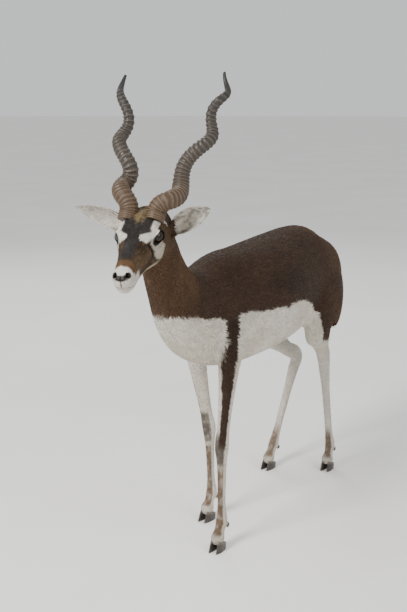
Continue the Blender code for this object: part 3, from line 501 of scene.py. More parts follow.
# %% State the head's rows and bumps
HEAD_ROWS = (  # forward, top, bottom, half width, height at which it is widest
    (-0.034, 0.016, -0.046, 0.030, -0.010),
    (-0.024, 0.034, -0.060, 0.043, -0.010),
    (0.000, 0.044, -0.066, 0.047, -0.010),
    (0.030, 0.052, -0.070, 0.049, -0.005),
    (0.060, 0.056, -0.067, 0.051, 0.001),
    (0.090, 0.051, -0.060, 0.050, 0.004),
    (0.120, 0.0420, -0.0530, 0.0405, 0.003),
    (0.150, 0.0345, -0.0480, 0.0310, -0.001),
    (0.180, 0.0275, -0.0450, 0.0255, -0.005),
    (0.205, 0.0215, -0.0440, 0.0235, -0.009),
    (0.225, 0.0140, -0.0410, 0.0205, -0.011),
    (0.238, 0.0020, -0.0330, 0.0135, -0.012),
    (0.242, -0.0070, -0.0220, 0.0065, -0.013),
)
HEAD_BUMPS = (  # place, reach and push on the left, and mirrored
    ((0.046, -0.086, 0.040), (0.016, 0.026, 0.014), (0.0030, 0.0, 0.0050)),
    ((0.050, -0.078, -0.004), (0.014, 0.034, 0.010), (0.0045, 0.0, 0.0)),
    ((0.044, -0.040, -0.036), (0.022, 0.030, 0.024), (0.0040, 0.0, -0.0010)),
    ((0.034, -0.130, -0.020), (0.016, 0.026, 0.014), (-0.0030, 0.0, 0.0)),
    ((0.038, -0.126, 0.014), (0.012, 0.011, 0.008), (-0.0028, 0.0, 0.0)),
    ((0.016, -0.226, -0.003), (0.008, 0.011, 0.009), (0.0030, -0.0010, 0.0)),
    ((0.018, -0.212, -0.019), (0.012, 0.024, 0.006), (0.0022, -0.0008, 0.0)),
    ((0.014, -0.212, -0.034), (0.012, 0.020, 0.006), (0.0012, -0.0008, 0.0)),
    ((0.008, -0.238, -0.026), (0.016, 0.014, 0.004), (-0.0010, 0.0022, 0.0)),
    ((0.031, -0.046, 0.056), (0.018, 0.018, 0.016), (0.0005, 0.0, 0.0040)),
    ((0.048, -0.003, -0.009), (0.014, 0.014, 0.014), (0.0040, 0.0020, 0.0020)),
)


def bumped(points, bumps):
    """Each bump moves nearby points by its push times exp(-(distance / reach)^2), on both sides."""
    moved = np.array(points, float)
    for centre, reach, push in bumps:
        for mirror in (1, -1):
            flip = np.array((mirror, 1, 1))
            away = (points - np.array(centre) * flip) / np.array(reach)
            moved += np.exp(-np.sum(away**2, axis=1))[:, None] * np.array(push) * flip
    return moved


def head_shell(sides, per_gap):
    """The head's loft: heights above and below the widest line, then the bumps."""
    stations = []
    for ahead, top, low, half, wide in HEAD_ROWS:
        stations.append((0.0, -ahead, wide, half, top - wide, wide - low))
    points, faces = tube(stations, (0, 0, 1), sides, per_gap, 0.90)
    return from_head(bumped(points, HEAD_BUMPS)), faces


def eye_frame(side):
    """A frame at the eye's centre: x along the slit between the lids, y up, z the way it looks."""
    out = Vector(mirrored(EYE_LOOKS, side)).normalized()
    along = Vector((0, -1, -0.22))
    along = (along - out * along.dot(out)).normalized()
    up = out.cross(along)
    if up.z < 0:
        up.negate()
    turn = Matrix((along, up, out)).transposed().to_4x4()
    return HEAD @ Matrix.Translation(mirrored(EYE_AT, side)) @ turn


def placed(points, matrix):
    """Points turned by the matrix and then moved by it."""
    m = np.array(matrix)
    return np.asarray(points) @ m[:3, :3].T + m[:3, 3]


def within(points, matrix):
    """Points read in a matrix's own coordinates."""
    m = np.array(matrix)
    return (np.asarray(points) - m[:3, 3]) @ m[:3, :3]


def eye_place(points, side):
    """Points in the eye's frame, and how far out each lies, where the edge of the lids is 1."""
    local = within(points, eye_frame(side))
    return local, np.hypot(local[:, 0] / EYE_OPENING[0], local[:, 1] / EYE_OPENING[1])


def oval_distance(head_points, centre, half, side):
    """How far out of an oval ball a point lies, where its surface is 1."""
    away = (head_points - np.array(mirrored(centre, side))) / np.array(half)
    return np.linalg.norm(away, axis=1)


GLAND_LINE = ((-0.014, 0.1221), (0.006, 0.1249), (0.018, 0.1278))  # height, and distance forward


def gland_line(up):
    """How far ahead the slit of the gland by the eye lies, at a height."""
    return read_table(GLAND_LINE, up)


# %% [markdown]
# ## Lids, lips and nostrils
#
# Three kinds of detail are cut into the head. An almond prism opens the lids, and a ball just larger
# than the eye clears its socket. A thin wedge follows the line of the mouth over the surface. Two
# comma slits open the nostrils. Folds over and under the eye, the furrow of the nose and the ridge of
# the lips are small moves of the surface along its normal, with widths of 2 to 4 mm.

# %% Write the cutters
MOUTH_LINE = (  # turn from straight ahead seen from inside the muzzle, and height
    (0, -0.0215),
    (25, -0.0222),
    (50, -0.0250),
    (75, -0.0280),
    (100, -0.0292),
    (120, -0.0288),
    (135, -0.0275),
    (144, -0.0262),
)


MOUTH_END = 144
NOSTRIL_AT = (0.0120, -0.2325, 0.0035)
NOSTRIL_HALF = (0.0036, 0.0100, 0.0070)


def prism(outline, near, far, matrix, flare):
    """An outline carried from near to far along z, and made flare times as wide there."""
    count = len(outline)
    low = np.column_stack([outline, np.full(count, near)])
    high = np.column_stack([outline * flare, np.full(count, far)])
    faces = grid_quads(2, count).tolist() + [list(range(count)), list(range(count, 2 * count))]
    return mesh_piece("opening", placed(np.vstack([low, high]), matrix), faces)


def mouth_wedge(head):
    """A wedge whose outer edge lies on the skin: each section is found by a ray from inside the muzzle."""
    inverse = HEAD.inverted()
    turns = np.linspace(-MOUTH_END, MOUTH_END, 73)
    heights = read_table(MOUTH_LINE, np.abs(turns))
    rows = []
    for turn, height in zip(np.radians(turns), heights):
        out = Vector((math.sin(turn), -math.cos(turn), 0.0))
        start = Vector((0.0, -0.205, height))
        hit, where, _, _ = head.ray_cast(HEAD @ start, HEAD.to_3x3() @ out)
        skin = inverse @ where if hit else start + out * 0.02
        opening = min(1.0, (MOUTH_END - abs(math.degrees(turn))) / 30)
        wide, deep = 0.0003 + 0.0009 * opening, 0.0012 + 0.0045 * opening
        outer, inner = skin + out * 0.004, skin - out * deep
        lift = Vector((0, 0, wide))
        rows.append([outer + lift, outer - lift, inner - lift * 0.3, inner + lift * 0.3])
    count = len(rows)
    points = np.array([HEAD @ p for row in rows for p in row])
    last = count * 4 - 4
    faces = grid_quads(count, 4).tolist() + [[0, 1, 2, 3], [last, last + 1, last + 2, last + 3]]
    return mesh_piece("mouth", points, faces)


def nostril_slit(side):
    """A flat oval ball, wider below, leaned and turned to the side of the nose."""
    points, faces = ball((0, 0, 0), NOSTRIL_HALF, 28, 20)
    points[:, 0] *= 1.0 - 0.45 * points[:, 2] / NOSTRIL_HALF[2]
    turn = (
        Matrix.Translation(mirrored(NOSTRIL_AT, side))
        @ Matrix.Rotation(math.radians(side * 32.0), 4, "Z")
        @ Matrix.Rotation(math.radians(18.0), 4, "X")
        @ Matrix.Rotation(math.radians(side * 24.0), 4, "Y")
    )
    return mesh_piece("nostril", placed(points, HEAD @ turn), faces)


# %% Fuse the head and fold its skin
NECK_CUT = np.array(TRUNK[14][:3])
NECK_RUNS = np.array(TRUNK[15][:3]) - np.array(TRUNK[13][:3])
NECK_RUNS /= np.linalg.norm(NECK_RUNS)


THROAT = ((0, 0.010, -0.050), (0.030, 0.010, -0.045), (-0.030, 0.010, -0.045))


def folds(points, normals):
    """Moves along the normal, in metres: rim and creases of the lids, furrow of the nose, lip ridge."""
    move = np.zeros(len(points))
    for side in (1, -1):
        local, oval = eye_place(points, side)
        front = np.clip(local[:, 2] / 0.006, 0, 1)
        above = np.clip(local[:, 1] / 0.004, -0.5, 1)
        move += front * 0.0007 * hump(oval - 1.18, 0.14)
        move -= front * (0.0006 + 0.0005 * above) * hump(oval - 1.55, 0.13)
        move -= front * 0.0004 * hump(oval - 2.05, 0.16)
    h = to_head(points)
    ahead = -h[:, 1]
    nose = np.clip((ahead - 0.222) / 0.010, 0, 1)
    move -= 0.0010 * nose * hump(h[:, 0], 0.0013) * (h[:, 2] < 0.006)
    for side in (1, -1):
        shell = oval_distance(h, (0.0130, -0.2300, 0.0045), (0.0085, 0.0120, 0.0085), side)
        move += 0.0009 * hump(shell - 0.95, 0.30)
        slit = np.abs(h[:, 0] * side - 0.036) < 0.012
        near = hump(ahead - gland_line(h[:, 2]), 0.0017) * ((h[:, 2] > -0.012) & (h[:, 2] < 0.018))
        move -= 0.0016 * near * slit
    return points + normals * move[:, None]


def head_flesh():
    """Upper neck, head and two balls for the lids as one fine surface, folded last."""
    shells = [tube(TRUNK[11:], (0, 0, 1), 72, 10), head_shell(80, 9)]
    for side in (1, -1):
        points, faces = ball((0, 0, 0), (EYE_RADIUS + 0.0030,) * 3, 40, 28)
        shells.append((placed(points, eye_frame(side)), faces))
    head = fused(joined("head_fine", shells), HEAD_GRID)
    ironed(head.data, 5)
    points = points_of(head.data)
    throat = [from_head([c])[0] for c in THROAT]
    weight = np.max([nearness(points, c, 0.042) for c in throat], axis=0)
    relaxed(head.data, 86, 0.5 * weight[:, None])
    below = (points - NECK_CUT) @ NECK_RUNS < -0.02
    bm = bmesh.new()
    bm.from_mesh(head.data)
    normals = np.array([v.normal for v in bm.verts])
    bm.free()
    points = points_of(head.data)
    set_points(head.data, np.where(below[:, None], points, folds(points, normals)))
    return head


# %% [markdown]
# ## The ears
#
# An ear is a leaf rolled into a cup. Across it runs an arc whose half angle falls from 150 degrees at
# the root to 30 at the tip, and whose half width swells and then tapers. The inside is the same arc
# drawn in by the ear's thickness, and it fills up towards the root. Two fine ridges run inside.

# %% Write the ear
EAR_LENGTH = {1: 0.128, -1: 0.138}
EAR_ROOT = (0.0430, -0.0020, -0.0150)
EAR_AXES = {1: Vector((0.86, -0.12, 0.58)), -1: Vector((-0.92, 0.02, 0.46))}
EAR_OPENS = (0.10, -1.0, 0.05)
EAR_HALF_WIDTH = (
    (0.0, 0.0130), (0.08, 0.0142), (0.22, 0.0205), (0.42, 0.0246),
    (0.62, 0.0224), (0.80, 0.0156), (0.92, 0.0075), (1.0, 0.0012),
)
EAR_BEND = ((0.0, 150.0), (0.10, 125.0), (0.30, 92.0), (0.60, 62.0), (0.85, 46.0), (1.0, 30.0))


def ear_frame(side):
    """The ear's root, the way it runs, the way its cup opens, and across."""
    axis = EAR_AXES[side].normalized()
    opens = Vector(mirrored(EAR_OPENS, side))
    opens = (opens - axis * opens.dot(axis)).normalized()
    root = np.array(mirrored(EAR_ROOT, side))
    return root, np.array(axis), np.array(opens), np.array(axis.cross(opens).normalized())


def ear(side):
    """Points on a grid of share along the ear and share across it, outside and then inside."""
    along_count, across_count = 52, 26
    u = np.linspace(0.0, 1.0, along_count)
    half = read_row(EAR_HALF_WIDTH, u)
    bend = np.radians(read_row(EAR_BEND, u))
    radius = half / np.sin(np.minimum(bend, math.pi / 2))
    v = np.linspace(-1.0, 1.0, across_count)
    angle = bend[:, None] * v[None, :]
    thick = 0.0028 * np.interp(u, [0.0, 0.7, 1.0], [1.0, 0.75, 0.25])
    outer = np.stack([radius[:, None] * np.sin(angle), radius[:, None] * np.cos(angle)], 2)
    ridge = 0.0006 * np.exp(-(((np.abs(v) - 0.35) / 0.09) ** 2))[None, :] * np.sin(np.pi * u)[:, None]
    inner_radius = np.maximum(radius - thick, radius * 0.3)[:, None] - ridge
    inner_angle = angle * (1.0 - 0.08 * thick / 0.0028)[:, None]
    inner = np.stack([inner_radius * np.sin(inner_angle), inner_radius * np.cos(inner_angle)], 2)
    flat = outer.copy()
    flat[:, :, 1] = outer[:, :1, 1] + (outer[:, :, 1] - outer[:, :1, 1]) * 0.06
    hollow = np.clip((u - 0.06) / 0.16, 0.0, 1.0)
    hollow = (hollow * hollow * (3 - 2 * hollow))[:, None, None]
    inner = flat * (1 - hollow) + inner * hollow
    ring = np.concatenate([outer, inner[:, ::-1]], axis=1)
    ring[:, :, 1] -= (radius * np.cos(np.minimum(bend, 1.6)) * 0.5)[:, None]
    root, axis, opens, across = ear_frame(side)
    points = (
        root
        + axis * (u * EAR_LENGTH[side])[:, None, None]
        + across * ring[:, :, 0:1]
        - opens * (ring[:, :, 1:2] - (0.010 * u**2)[:, None, None])
    )
    ends = [points[0].mean(axis=0), points[-1].mean(axis=0)]
    faces = ring_faces(along_count, points.shape[1])
    return mesh_piece("ear", from_head(np.vstack([points.reshape(-1, 3), ends])), faces)


# %% [markdown]
# ## One skin
#
# The head is fine and the body coarser, so the two are made apart and zipped together round the neck.
# Each is cut open by a plane, 3 mm apart. The rims are put in order by their angle round the neck, and
# a triangle goes to each step along either rim. Nothing is left open, and no seam shows.

# %% Zip two open rims
def opened(piece, at, keep_above):
    """The mesh cut open by the neck's plane, as points and triangles."""
    bm = bmesh.new()
    bm.from_mesh(piece.data)
    bmesh.ops.triangulate(bm, faces=bm.faces)
    bmesh.ops.bisect_plane(
        bm,
        geom=bm.verts[:] + bm.edges[:] + bm.faces[:],
        dist=1e-7,
        plane_co=at,
        plane_no=NECK_RUNS,
        clear_inner=keep_above,
        clear_outer=not keep_above,
    )
    bmesh.ops.triangulate(bm, faces=bm.faces)
    mesh = bpy.data.meshes.new("open")
    bm.to_mesh(mesh)
    bm.free()
    return points_of(mesh), flat_read(mesh.polygons, "vertices", 3, int)


def rim_of(faces, points):
    """The open edge's points, in order of their angle round the neck."""
    sides = np.sort(np.vstack([faces[:, [0, 1]], faces[:, [1, 2]], faces[:, [2, 0]]]), axis=1)
    unique, count = np.unique(sides, axis=0, return_counts=True)
    rim = np.unique(unique[count == 1])
    across = np.cross(NECK_RUNS, (1.0, 0.0, 0.0))
    across /= np.linalg.norm(across)
    other = np.cross(NECK_RUNS, across)
    centre = points[rim].mean(axis=0)
    angle = np.arctan2((points[rim] - centre) @ other, (points[rim] - centre) @ across)
    order = np.argsort(angle)
    return rim[order], angle[order]


def zipped(low, high):
    """Both shells and a strip between their rims. The strip steps along the rim whose next angle is less."""
    points = np.vstack([low[0], high[0]])
    faces = np.vstack([low[1], high[1] + len(low[0])])
    one, one_angle = rim_of(low[1], low[0])
    two, two_angle = rim_of(high[1], high[0])
    two += len(low[0])
    angle = np.concatenate([one_angle, two_angle])
    which = np.concatenate([np.zeros(len(one), int), np.ones(len(two), int)])
    order = np.argsort(angle, kind="stable")
    which = which[order]
    at_one = (np.cumsum(which == 0) - 1) % len(one)
    at_two = (np.cumsum(which == 1) - 1) % len(two)
    next_one, next_two = np.roll(at_one, -1), np.roll(at_two, -1)
    third = np.where(np.roll(which, -1) == 0, one[next_one], two[next_two])
    return points, np.vstack([faces, np.stack([one[at_one], two[at_two], third], 1)])


# %% Build the skin
SEAM_HALF = 0.0015
turn = round_turns(64)
ALMOND = np.column_stack([EYE_OPENING[0] * np.cos(turn), EYE_OPENING[1] * powered(np.sin(turn), 1.2)])
body = thinned(body_flesh(), BODY_TRIANGLES)
cut(body, joined("tail", [tube(TAIL, (0, 1, 0), 32, 8)]), "UNION")
head = thinned(head_flesh(), HEAD_TRIANGLES)
cut(head, mouth_wedge(head))
for side in (1, -1):
    cut(head, nostril_slit(side))
    cut(head, prism(ALMOND, 0.004, 0.034, eye_frame(side), 1.25))
    points, faces = ball((0, 0, 0), (EYE_RADIUS + 0.0002,) * 3, 48, 32)
    cut(head, mesh_piece("socket", placed(points, eye_frame(side)), faces))
    cut(head, ear(side), "UNION")
print("body", triangles_of(body.data), "and head", triangles_of(head.data), "triangles")

low = opened(body, NECK_CUT - NECK_RUNS * SEAM_HALF, False)
high = opened(head, NECK_CUT + NECK_RUNS * SEAM_HALF, True)
skin = mesh_piece("skin", *zipped(low, high))
for old in (body, head):
    bpy.data.objects.remove(old)
points = points_of(skin.data)
near_neck = np.linalg.norm(points - NECK_CUT, axis=1) < 0.13
weight = hump(np.abs((points - NECK_CUT) @ NECK_RUNS), 0.012) * near_neck
tail_root = nearness(points, (0.0, 0.424, 0.702), 0.026)
relaxed(skin.data, 14, 0.5 * np.maximum(weight, tail_root)[:, None])
smoothed(skin)
print("skin", triangles_of(skin.data), "triangles")

# %% [markdown]
# ## Where is a point on the animal?
#
# The coat's depth, its lie and its colour all depend on the part of the body. A few soft weights say
# how much a point belongs to the head, an ear, the neck, a leg or the tail. A leg's point also gets
# an angle round the leg: 0 is the front and 90 degrees the outside.

# %% Write the regions
def ease(value, low, high):
    """0 below low, 1 above high and a smooth rise between, also when low is the larger."""
    t = np.clip((value - low) / (high - low), 0.0, 1.0)
    return t * t * (3 - 2 * t)


def leg_place(points):
    """Which leg is nearest, how far the point lies from its line, and its angle round it."""
    best = np.full(len(points), 9.0)
    angle, number = np.zeros(len(points)), np.zeros(len(points), int)
    for i, (name, joints) in enumerate(LIMBS.items()):
        rows = np.array(list(joints.values()))[::-1]
        dx = points[:, 0] - np.interp(points[:, 2], rows[:, 2], rows[:, 0])
        dy = points[:, 1] - np.interp(points[:, 2], rows[:, 2], rows[:, 1])
        side = 1 if name.endswith("left") else -1
        away = np.hypot(dx, dy)
        mine = away < best
        best = np.where(mine, away, best)
        angle = np.where(mine, np.degrees(np.arctan2(dx * side, -dy)), angle)
        number = np.where(mine, i, number)
    return number, best, angle


def ear_place(head_points):
    """For each side: share along the ear, and whether the point is on it."""
    found = {}
    for side in (1, -1):
        root, axis, opens, _ = ear_frame(side)
        away = head_points - root
        share = away @ axis / EAR_LENGTH[side]
        off = np.linalg.norm(away - (away @ axis)[:, None] * axis, axis=1)
        on = (share > 0.10) & (share < 1.1) & (off < 0.040) & (np.abs(head_points[:, 0]) > 0.0565)
        found[side] = (share, on & (head_points[:, 0] * side > 0), opens)
    return found


TAIL_BEHIND, TAIL_BELOW, TAIL_HALF = 0.437, 0.69, 0.02


def on_tail(points):
    """Points behind one plane, below another and close to the middle."""
    near_middle = np.abs(points[:, 0]) < TAIL_HALF
    return (points[:, 1] > TAIL_BEHIND) & (points[:, 2] < TAIL_BELOW) & near_middle


def regions(points):
    """Soft weights of head, neck, legs and tail, and a flag for the ears."""
    h = to_head(points)
    past = (points - NECK_CUT) @ NECK_RUNS
    found = {}
    high_up = (points[:, 1] < -0.50) & (points[:, 2] > 0.70)
    found["head"] = ease(past, -0.01, 0.03) * high_up
    found["neck"] = ease(points[:, 1], -0.38, -0.50) * (1 - found["head"])
    found["tail"] = on_tail(points).astype(float)
    found["leg"] = ease(points[:, 2], 0.52, 0.40) * (1 - found["tail"])
    ears = ear_place(h)
    found["ear"] = (ears[1][1] | ears[-1][1]).astype(float)
    return found, h, ears


COAT_DEPTH = {"trunk": 0.0034, "neck": 0.0030, "leg": 0.0016, "foot": 0.0006, "head": 0.0011, "nose": 0.0005}
EAR_DEPTH = 0.00012


def coat_depth(points):
    """How far the skin lies inside the solids: each region's depth is mixed in by its weight."""
    r, h, _ = regions(points)
    shares = {
        "neck": r["neck"],
        "leg": r["leg"],
        "foot": ease(points[:, 2], 0.07, 0.03),
        "head": r["head"],
        "nose": ease(-h[:, 1], 0.19, 0.22) * r["head"],
    }
    depth = COAT_DEPTH["trunk"] * np.ones(len(points))
    for region, share in shares.items():
        depth = depth + (COAT_DEPTH[region] - depth) * share
    depth = depth * (1 - 0.5 * r["tail"])
    for side in (1, -1):
        depth = depth * (1 - 0.95 * nearness(h, mirrored((0.048, -0.092, 0.022), side), 0.021))
    return np.where(r["ear"] > 0, EAR_DEPTH, depth)


points = points_of(skin.data)
depth = coat_depth(points)
set_points(skin.data, points - flat_read(skin.data.vertices, "normal", 3) * depth[:, None])
print("the skin lies", np.round(1000 * depth.min(), 2), "to", np.round(1000 * depth.max(), 2), "mm deep")

# %% [markdown]
# ## The markings
#
# A blackbuck's colours have edges that people know: a dark back over a white belly, white round the
# eyes, a dark blaze between them, stripes down the legs. A texture would need an unwrap and a picture.
# Here the colour is a function of the place instead: smooth masks that are laid over each other, with
# a little noise that frays their edges. Skin and coat read the same function, so they agree.

# %% Write the noise and the tones
def lattice(points, cell, seed):
    """Value noise from 0 to 1: random values on a grid of cells, mixed smoothly between its corners."""
    q = points / cell
    i = np.floor(q).astype(np.int64)
    f = q - i
    f = f * f * (3 - 2 * f)
    total = np.zeros(len(points))
    for corner in range(8):
        o = np.array([corner & 1, corner >> 1 & 1, corner >> 2 & 1])
        c = i + o
        mixed = (c[:, 0] * 73856093) ^ (c[:, 1] * 19349663) ^ (c[:, 2] * 83492791) ^ (seed * 2654435)
        mixed = (mixed & 0xFFFFFF) * 48271 % 0x7FFFFF
        share = np.prod(np.where(o, f, 1 - f), axis=1)
        total += share * (mixed / 0x7FFFFF)
    return total


def frayed(points, *noises):
    """How far an edge is moved: the sum of (noise - 0.5) * size, each of a cell, a seed and a size."""
    return sum((lattice(points, cell, seed) - 0.5) * size for cell, seed, size in noises)


def tone(red, green, blue):
    """A colour seen on a screen, 0 to 255, as the light it stands for."""
    c = np.array((red, green, blue)) / 255
    return np.where(c <= 0.04045, c / 12.92, ((c + 0.055) / 1.055) ** 2.4)


TONES = {
    "back": tone(66, 48, 35),
    "rump": tone(100, 71, 45),
    "shade": tone(46, 34, 26),
    "nape": tone(104, 76, 49),
    "white": tone(226, 220, 208),
    "cream": tone(206, 192, 168),
    "grey white": tone(186, 178, 162),
    "leg dark": tone(58, 43, 32),
    "rufous": tone(104, 77, 52),
    "blaze": tone(54, 50, 48),
    "crown": tone(132, 112, 78),
    "cheek": tone(88, 69, 49),
    "black": tone(20, 17, 15),
    "lip": tone(214, 206, 194),
    "ear": tone(220, 213, 200),
    "ear back": tone(120, 98, 72),
    "cheek dark": tone(54, 41, 30),
    "gold": tone(122, 97, 64),
}
print(len(TONES), "tones")


def lay(colour, *layers):
    """Each layer's tone laid over the colour by the layer's mask, in their order."""
    for name, mask in layers:
        colour = colour + (TONES[name] - colour) * np.clip(mask, 0, 1)[:, None]
    return colour


# %% Lay the body's markings
SIDE_LINE = (  # where brown ends above white: distance along the body, and height
    (-0.60, 0.700), (-0.56, 0.674), (-0.52, 0.669), (-0.47, 0.658), (-0.39, 0.640), (-0.36, 0.632),
    (-0.31, 0.640), (-0.27, 0.639), (-0.16, 0.626), (-0.09, 0.623), (-0.03, 0.627), (0.02, 0.621),
    (0.08, 0.599), (0.153, 0.557), (0.166, 0.516), (0.197, 0.462), (0.26, 0.452), (0.34, 0.448),
    (0.39, 0.50), (0.42, 0.56),
)
STRIP = (  # height, and the front and back edge of the dark strip down the left fore leg
    (0.24, -0.352, -0.335), (0.30, -0.352, -0.335), (0.362, -0.352, -0.333), (0.418, -0.354, -0.333),
    (0.474, -0.358, -0.332), (0.529, -0.362, -0.331), (0.583, -0.365, -0.330), (0.640, -0.367, -0.318),
)


def leg_strip(p, fray, angle, away):
    """The dark strip of a fore leg: two edges above the elbow, and a window of angles below it."""
    x, y, z = p.T
    heights, front_edge, back_edge = np.array(STRIP).T
    names = ("fetlock", "carpus", "elbow", "arm", "blade")
    left = np.array([LIMBS["fore_leg_left"][joint] for joint in names])
    right = np.array([LIMBS["fore_leg_right"][joint] for joint in names])
    other = np.interp(z, right[:, 2], right[:, 1]) - np.interp(z, left[:, 2], left[:, 1])
    offset = np.where(x < 0, other * ease(z, 0.62, 0.50), 0.0)
    front = np.interp(z, heights, front_edge) + offset
    back = np.interp(z, heights, back_edge) + offset
    outer = np.abs(x) > np.interp(z, [0.3, 0.5, 0.6], [0.058, 0.072, 0.078])
    strip = ease(y + fray, front - 0.003, front + 0.003) * ease(y + fray, back + 0.003, back - 0.003)
    centre = np.where(x > 0, 28, 68)
    round_leg = ease(np.abs(angle - centre + fray * 900), 38, 28) * ease(away, 0.070, 0.052)
    low_share = ease(z, 0.58, 0.50)
    strip = strip * outer * (1 - low_share) + round_leg * low_share
    return strip * ease(z, 0.650, 0.632) * ease(z, 0.27, 0.30) * (y < 0)


def spurs_at(p):
    """Points nearer than 7.8 mm to a lump's centre, where height counts 1 / 1.2."""
    found = np.zeros(len(p), bool)
    for joints in LIMBS.values():
        for side in (-1, 1):
            at = np.array(joints["fetlock"]) + mirrored(SPUR_DARK_AT, side)
            found |= np.linalg.norm((p - at) / (1, 1, 1.2), axis=1) < 0.0078
    return found


def body_colour(p):
    """Dark above a line along the side and white below it, then the legs' strips and marks."""
    x, y, z = p.T
    side = np.abs(x)
    fray = frayed(p, (0.018, 1, 0.010), (0.005, 2, 0.008))
    patch = lattice(p, 0.070, 3)
    fine = lattice(p * np.array((1, 0.35, 1)), 0.008, 4)
    line = read_table(SIDE_LINE, y)
    white = ease(z + fray, line + 0.004, line - 0.004)
    white = np.maximum(white, ease(side + fray, 0.050, 0.040) * ease(y, 0.34, 0.38) * ease(z, 0.69, 0.66))
    white = np.maximum(white, ease(side + fray, 0.058, 0.046) * ease(z, 0.60, 0.56) * (y > 0.02))
    number, away, angle = leg_place(p)
    strip = leg_strip(p, fray, angle, away)
    low = z < 0.46
    fore_low, hind_low = (number < 2) & low, (number >= 2) & low
    ahead = ease(np.abs(angle), 62, 42)
    knee = ease(z, 0.225, 0.245) * ease(z, 0.335, 0.315) * ahead
    stripe = ease(z + fray, 0.235, 0.215) * ease(z, 0.038, 0.050) * ahead
    fetlock = ease(z + fray, 0.150, 0.105) * ease(z, 0.036, 0.048) * ahead
    tail = on_tail(p)
    colour = lay(
        np.tile(TONES["back"], (len(p), 1)),
        ("rump", ease(y, 0.16, 0.40) * 0.8),
        ("shade", 0.55 * ease(patch, 0.45, 0.80) * ease(z, 0.79, 0.68)),
        ("nape", 0.75 * ease(z, 0.76, 0.80) * ease(y, 0.10, 0.34)),
        ("nape", 0.35 * ease(y, -0.42, -0.56)),
        ("nape", 0.55 * ease(patch, 0.55, 0.85) * ease(y, -0.30, -0.45)),
        ("white", white),
        ("cream", white * 0.45 * ease(patch, 0.4, 0.9)),
        ("leg dark", strip),
        ("leg dark", fore_low * knee * 0.85),
        ("rufous", fore_low * stripe * 0.9),
        ("rufous", hind_low * fetlock * 0.85),
        ("grey white", low * 0.45 * ease(fine, 0.4, 0.9) * (1 - strip)),
        ("grey white", ease(z, 0.045, 0.038) * 0.6),
        ("black", spurs_at(p) * 0.9),
        ("rump", tail * ease(y, 0.448, 0.452)),
        ("shade", tail * ease(z, 0.60, 0.56) * 0.7),
    )
    return colour * (0.86 + 0.28 * fine)[:, None]


# %% Lay the head's markings
BLAZE_HALF = (  # distance forward, and half width of the dark blaze
    (0.00, 0.020), (0.03, 0.030), (0.05, 0.038), (0.07, 0.041), (0.085, 0.041), (0.102, 0.036),
    (0.111, 0.0255), (0.121, 0.0150), (0.135, 0.0142), (0.165, 0.0148), (0.188, 0.0125), (0.200, 0.0050),
)
BLAZE_SOFT = ((0.120, 0.0018), (0.150, 0.0035), (0.200, 0.0050))
BROW_NEAR = (  # distance from the middle, and how far ahead the white brow begins
    (0.0130, 0.124), (0.0148, 0.1207), (0.0255, 0.1114), (0.0361, 0.1016), (0.0430, 0.0851),
)
BROW_FAR = (  # the same, and where it ends
    (0.0130, 0.132), (0.0182, 0.1359), (0.0298, 0.1340), (0.0382, 0.1152), (0.0453, 0.0986),
)
BAND_HEIGHT = (  # distance forward, and height of the white band over the eye
    (0.024, 0.010), (0.032, 0.024), (0.045, 0.035), (0.060, 0.040), (0.085, 0.042), (0.100, 0.040),
)


MOUTH_HEIGHT = ((0.170, -0.0275), (0.200, -0.0290), (0.238, -0.0215))  # distance forward, and height


def pad_height(side):
    """The height of the bare pad of the nose: level in the middle, and rising outwards."""
    return 0.0020 + 0.25 * np.clip(side - 0.004, 0, 0.02)


def mouth_height(ahead):
    """The height of the mouth's line, read at a distance forward."""
    return read_table(MOUTH_HEIGHT, ahead)


def forehead_layers(h, fray, patch):
    """The dark blaze, the gold crown between the horns, and the white over the eye."""
    side, ahead, up = head_axes(h)
    s = side + fray
    top = ease(up, 0.000, 0.012)
    half = read_table(BLAZE_HALF, ahead)
    soft = read_table(BLAZE_SOFT, ahead)
    blaze = ease(s, half + soft, half - soft) * top
    blaze = blaze * ease(ahead + fray * 2, 0.206, 0.186) * ease(ahead, 0.0, 0.03)
    away = np.hypot(s / 0.021, (ahead - 0.040) / 0.048) + 0.5 * (lattice(h, 0.0045, 10) - 0.5)
    gold = ease(away, 1.10, 0.55) * top

    near_edge = read_table(BROW_NEAR, side)
    far_edge = read_table(BROW_FAR, side)
    brow = ease(ahead + fray, near_edge - 0.0015, near_edge + 0.0015)
    brow = brow * ease(ahead + fray, far_edge + 0.0015, far_edge - 0.0015)
    brow = brow * ease(s, 0.0125, 0.0145) * ease(up, 0.022, 0.028)
    height = read_table(BAND_HEIGHT, ahead)
    band = ease(np.abs(up - height + fray), 0.0062, 0.0042) * ease(ahead, 0.022, 0.028)
    band = band * ease(ahead, 0.104, 0.098) * ease(side, 0.030, 0.034)
    return (
        ("blaze", blaze),
        ("crown", gold * 0.9),
        ("black", blaze * (1 - gold) * 0.30 * ease(patch, 0.35, 0.8)),
        ("white", np.maximum(brow, band)),
    )


def cheek_layers(h, fray):
    """The pale oval under the eye, the cheek behind it and the dark slit of the gland."""
    side, ahead, up = head_axes(h)
    a, b = ahead - 0.101, up + 0.006
    long_way, short_way = a * 0.49 + b * 0.87, a * 0.87 - b * 0.49
    below = np.hypot(long_way / 0.034, short_way / 0.0165) + fray * 25
    slit = ease(np.abs(ahead - gland_line(up)), 0.0046, 0.0026)
    slit = slit * ease(up, -0.018, -0.013) * ease(up, 0.022, 0.018)
    return (
        ("grey white", ease(below, 1.08, 0.90) * ease(side, 0.026, 0.031) * 0.92),
        ("cheek", ease(side, 0.02, 0.03) * ease(np.abs(ahead - 0.060), 0.010, 0.004) * (up < 0.0) * 0.5),
        ("black", slit * (side > 0.024)),
    )


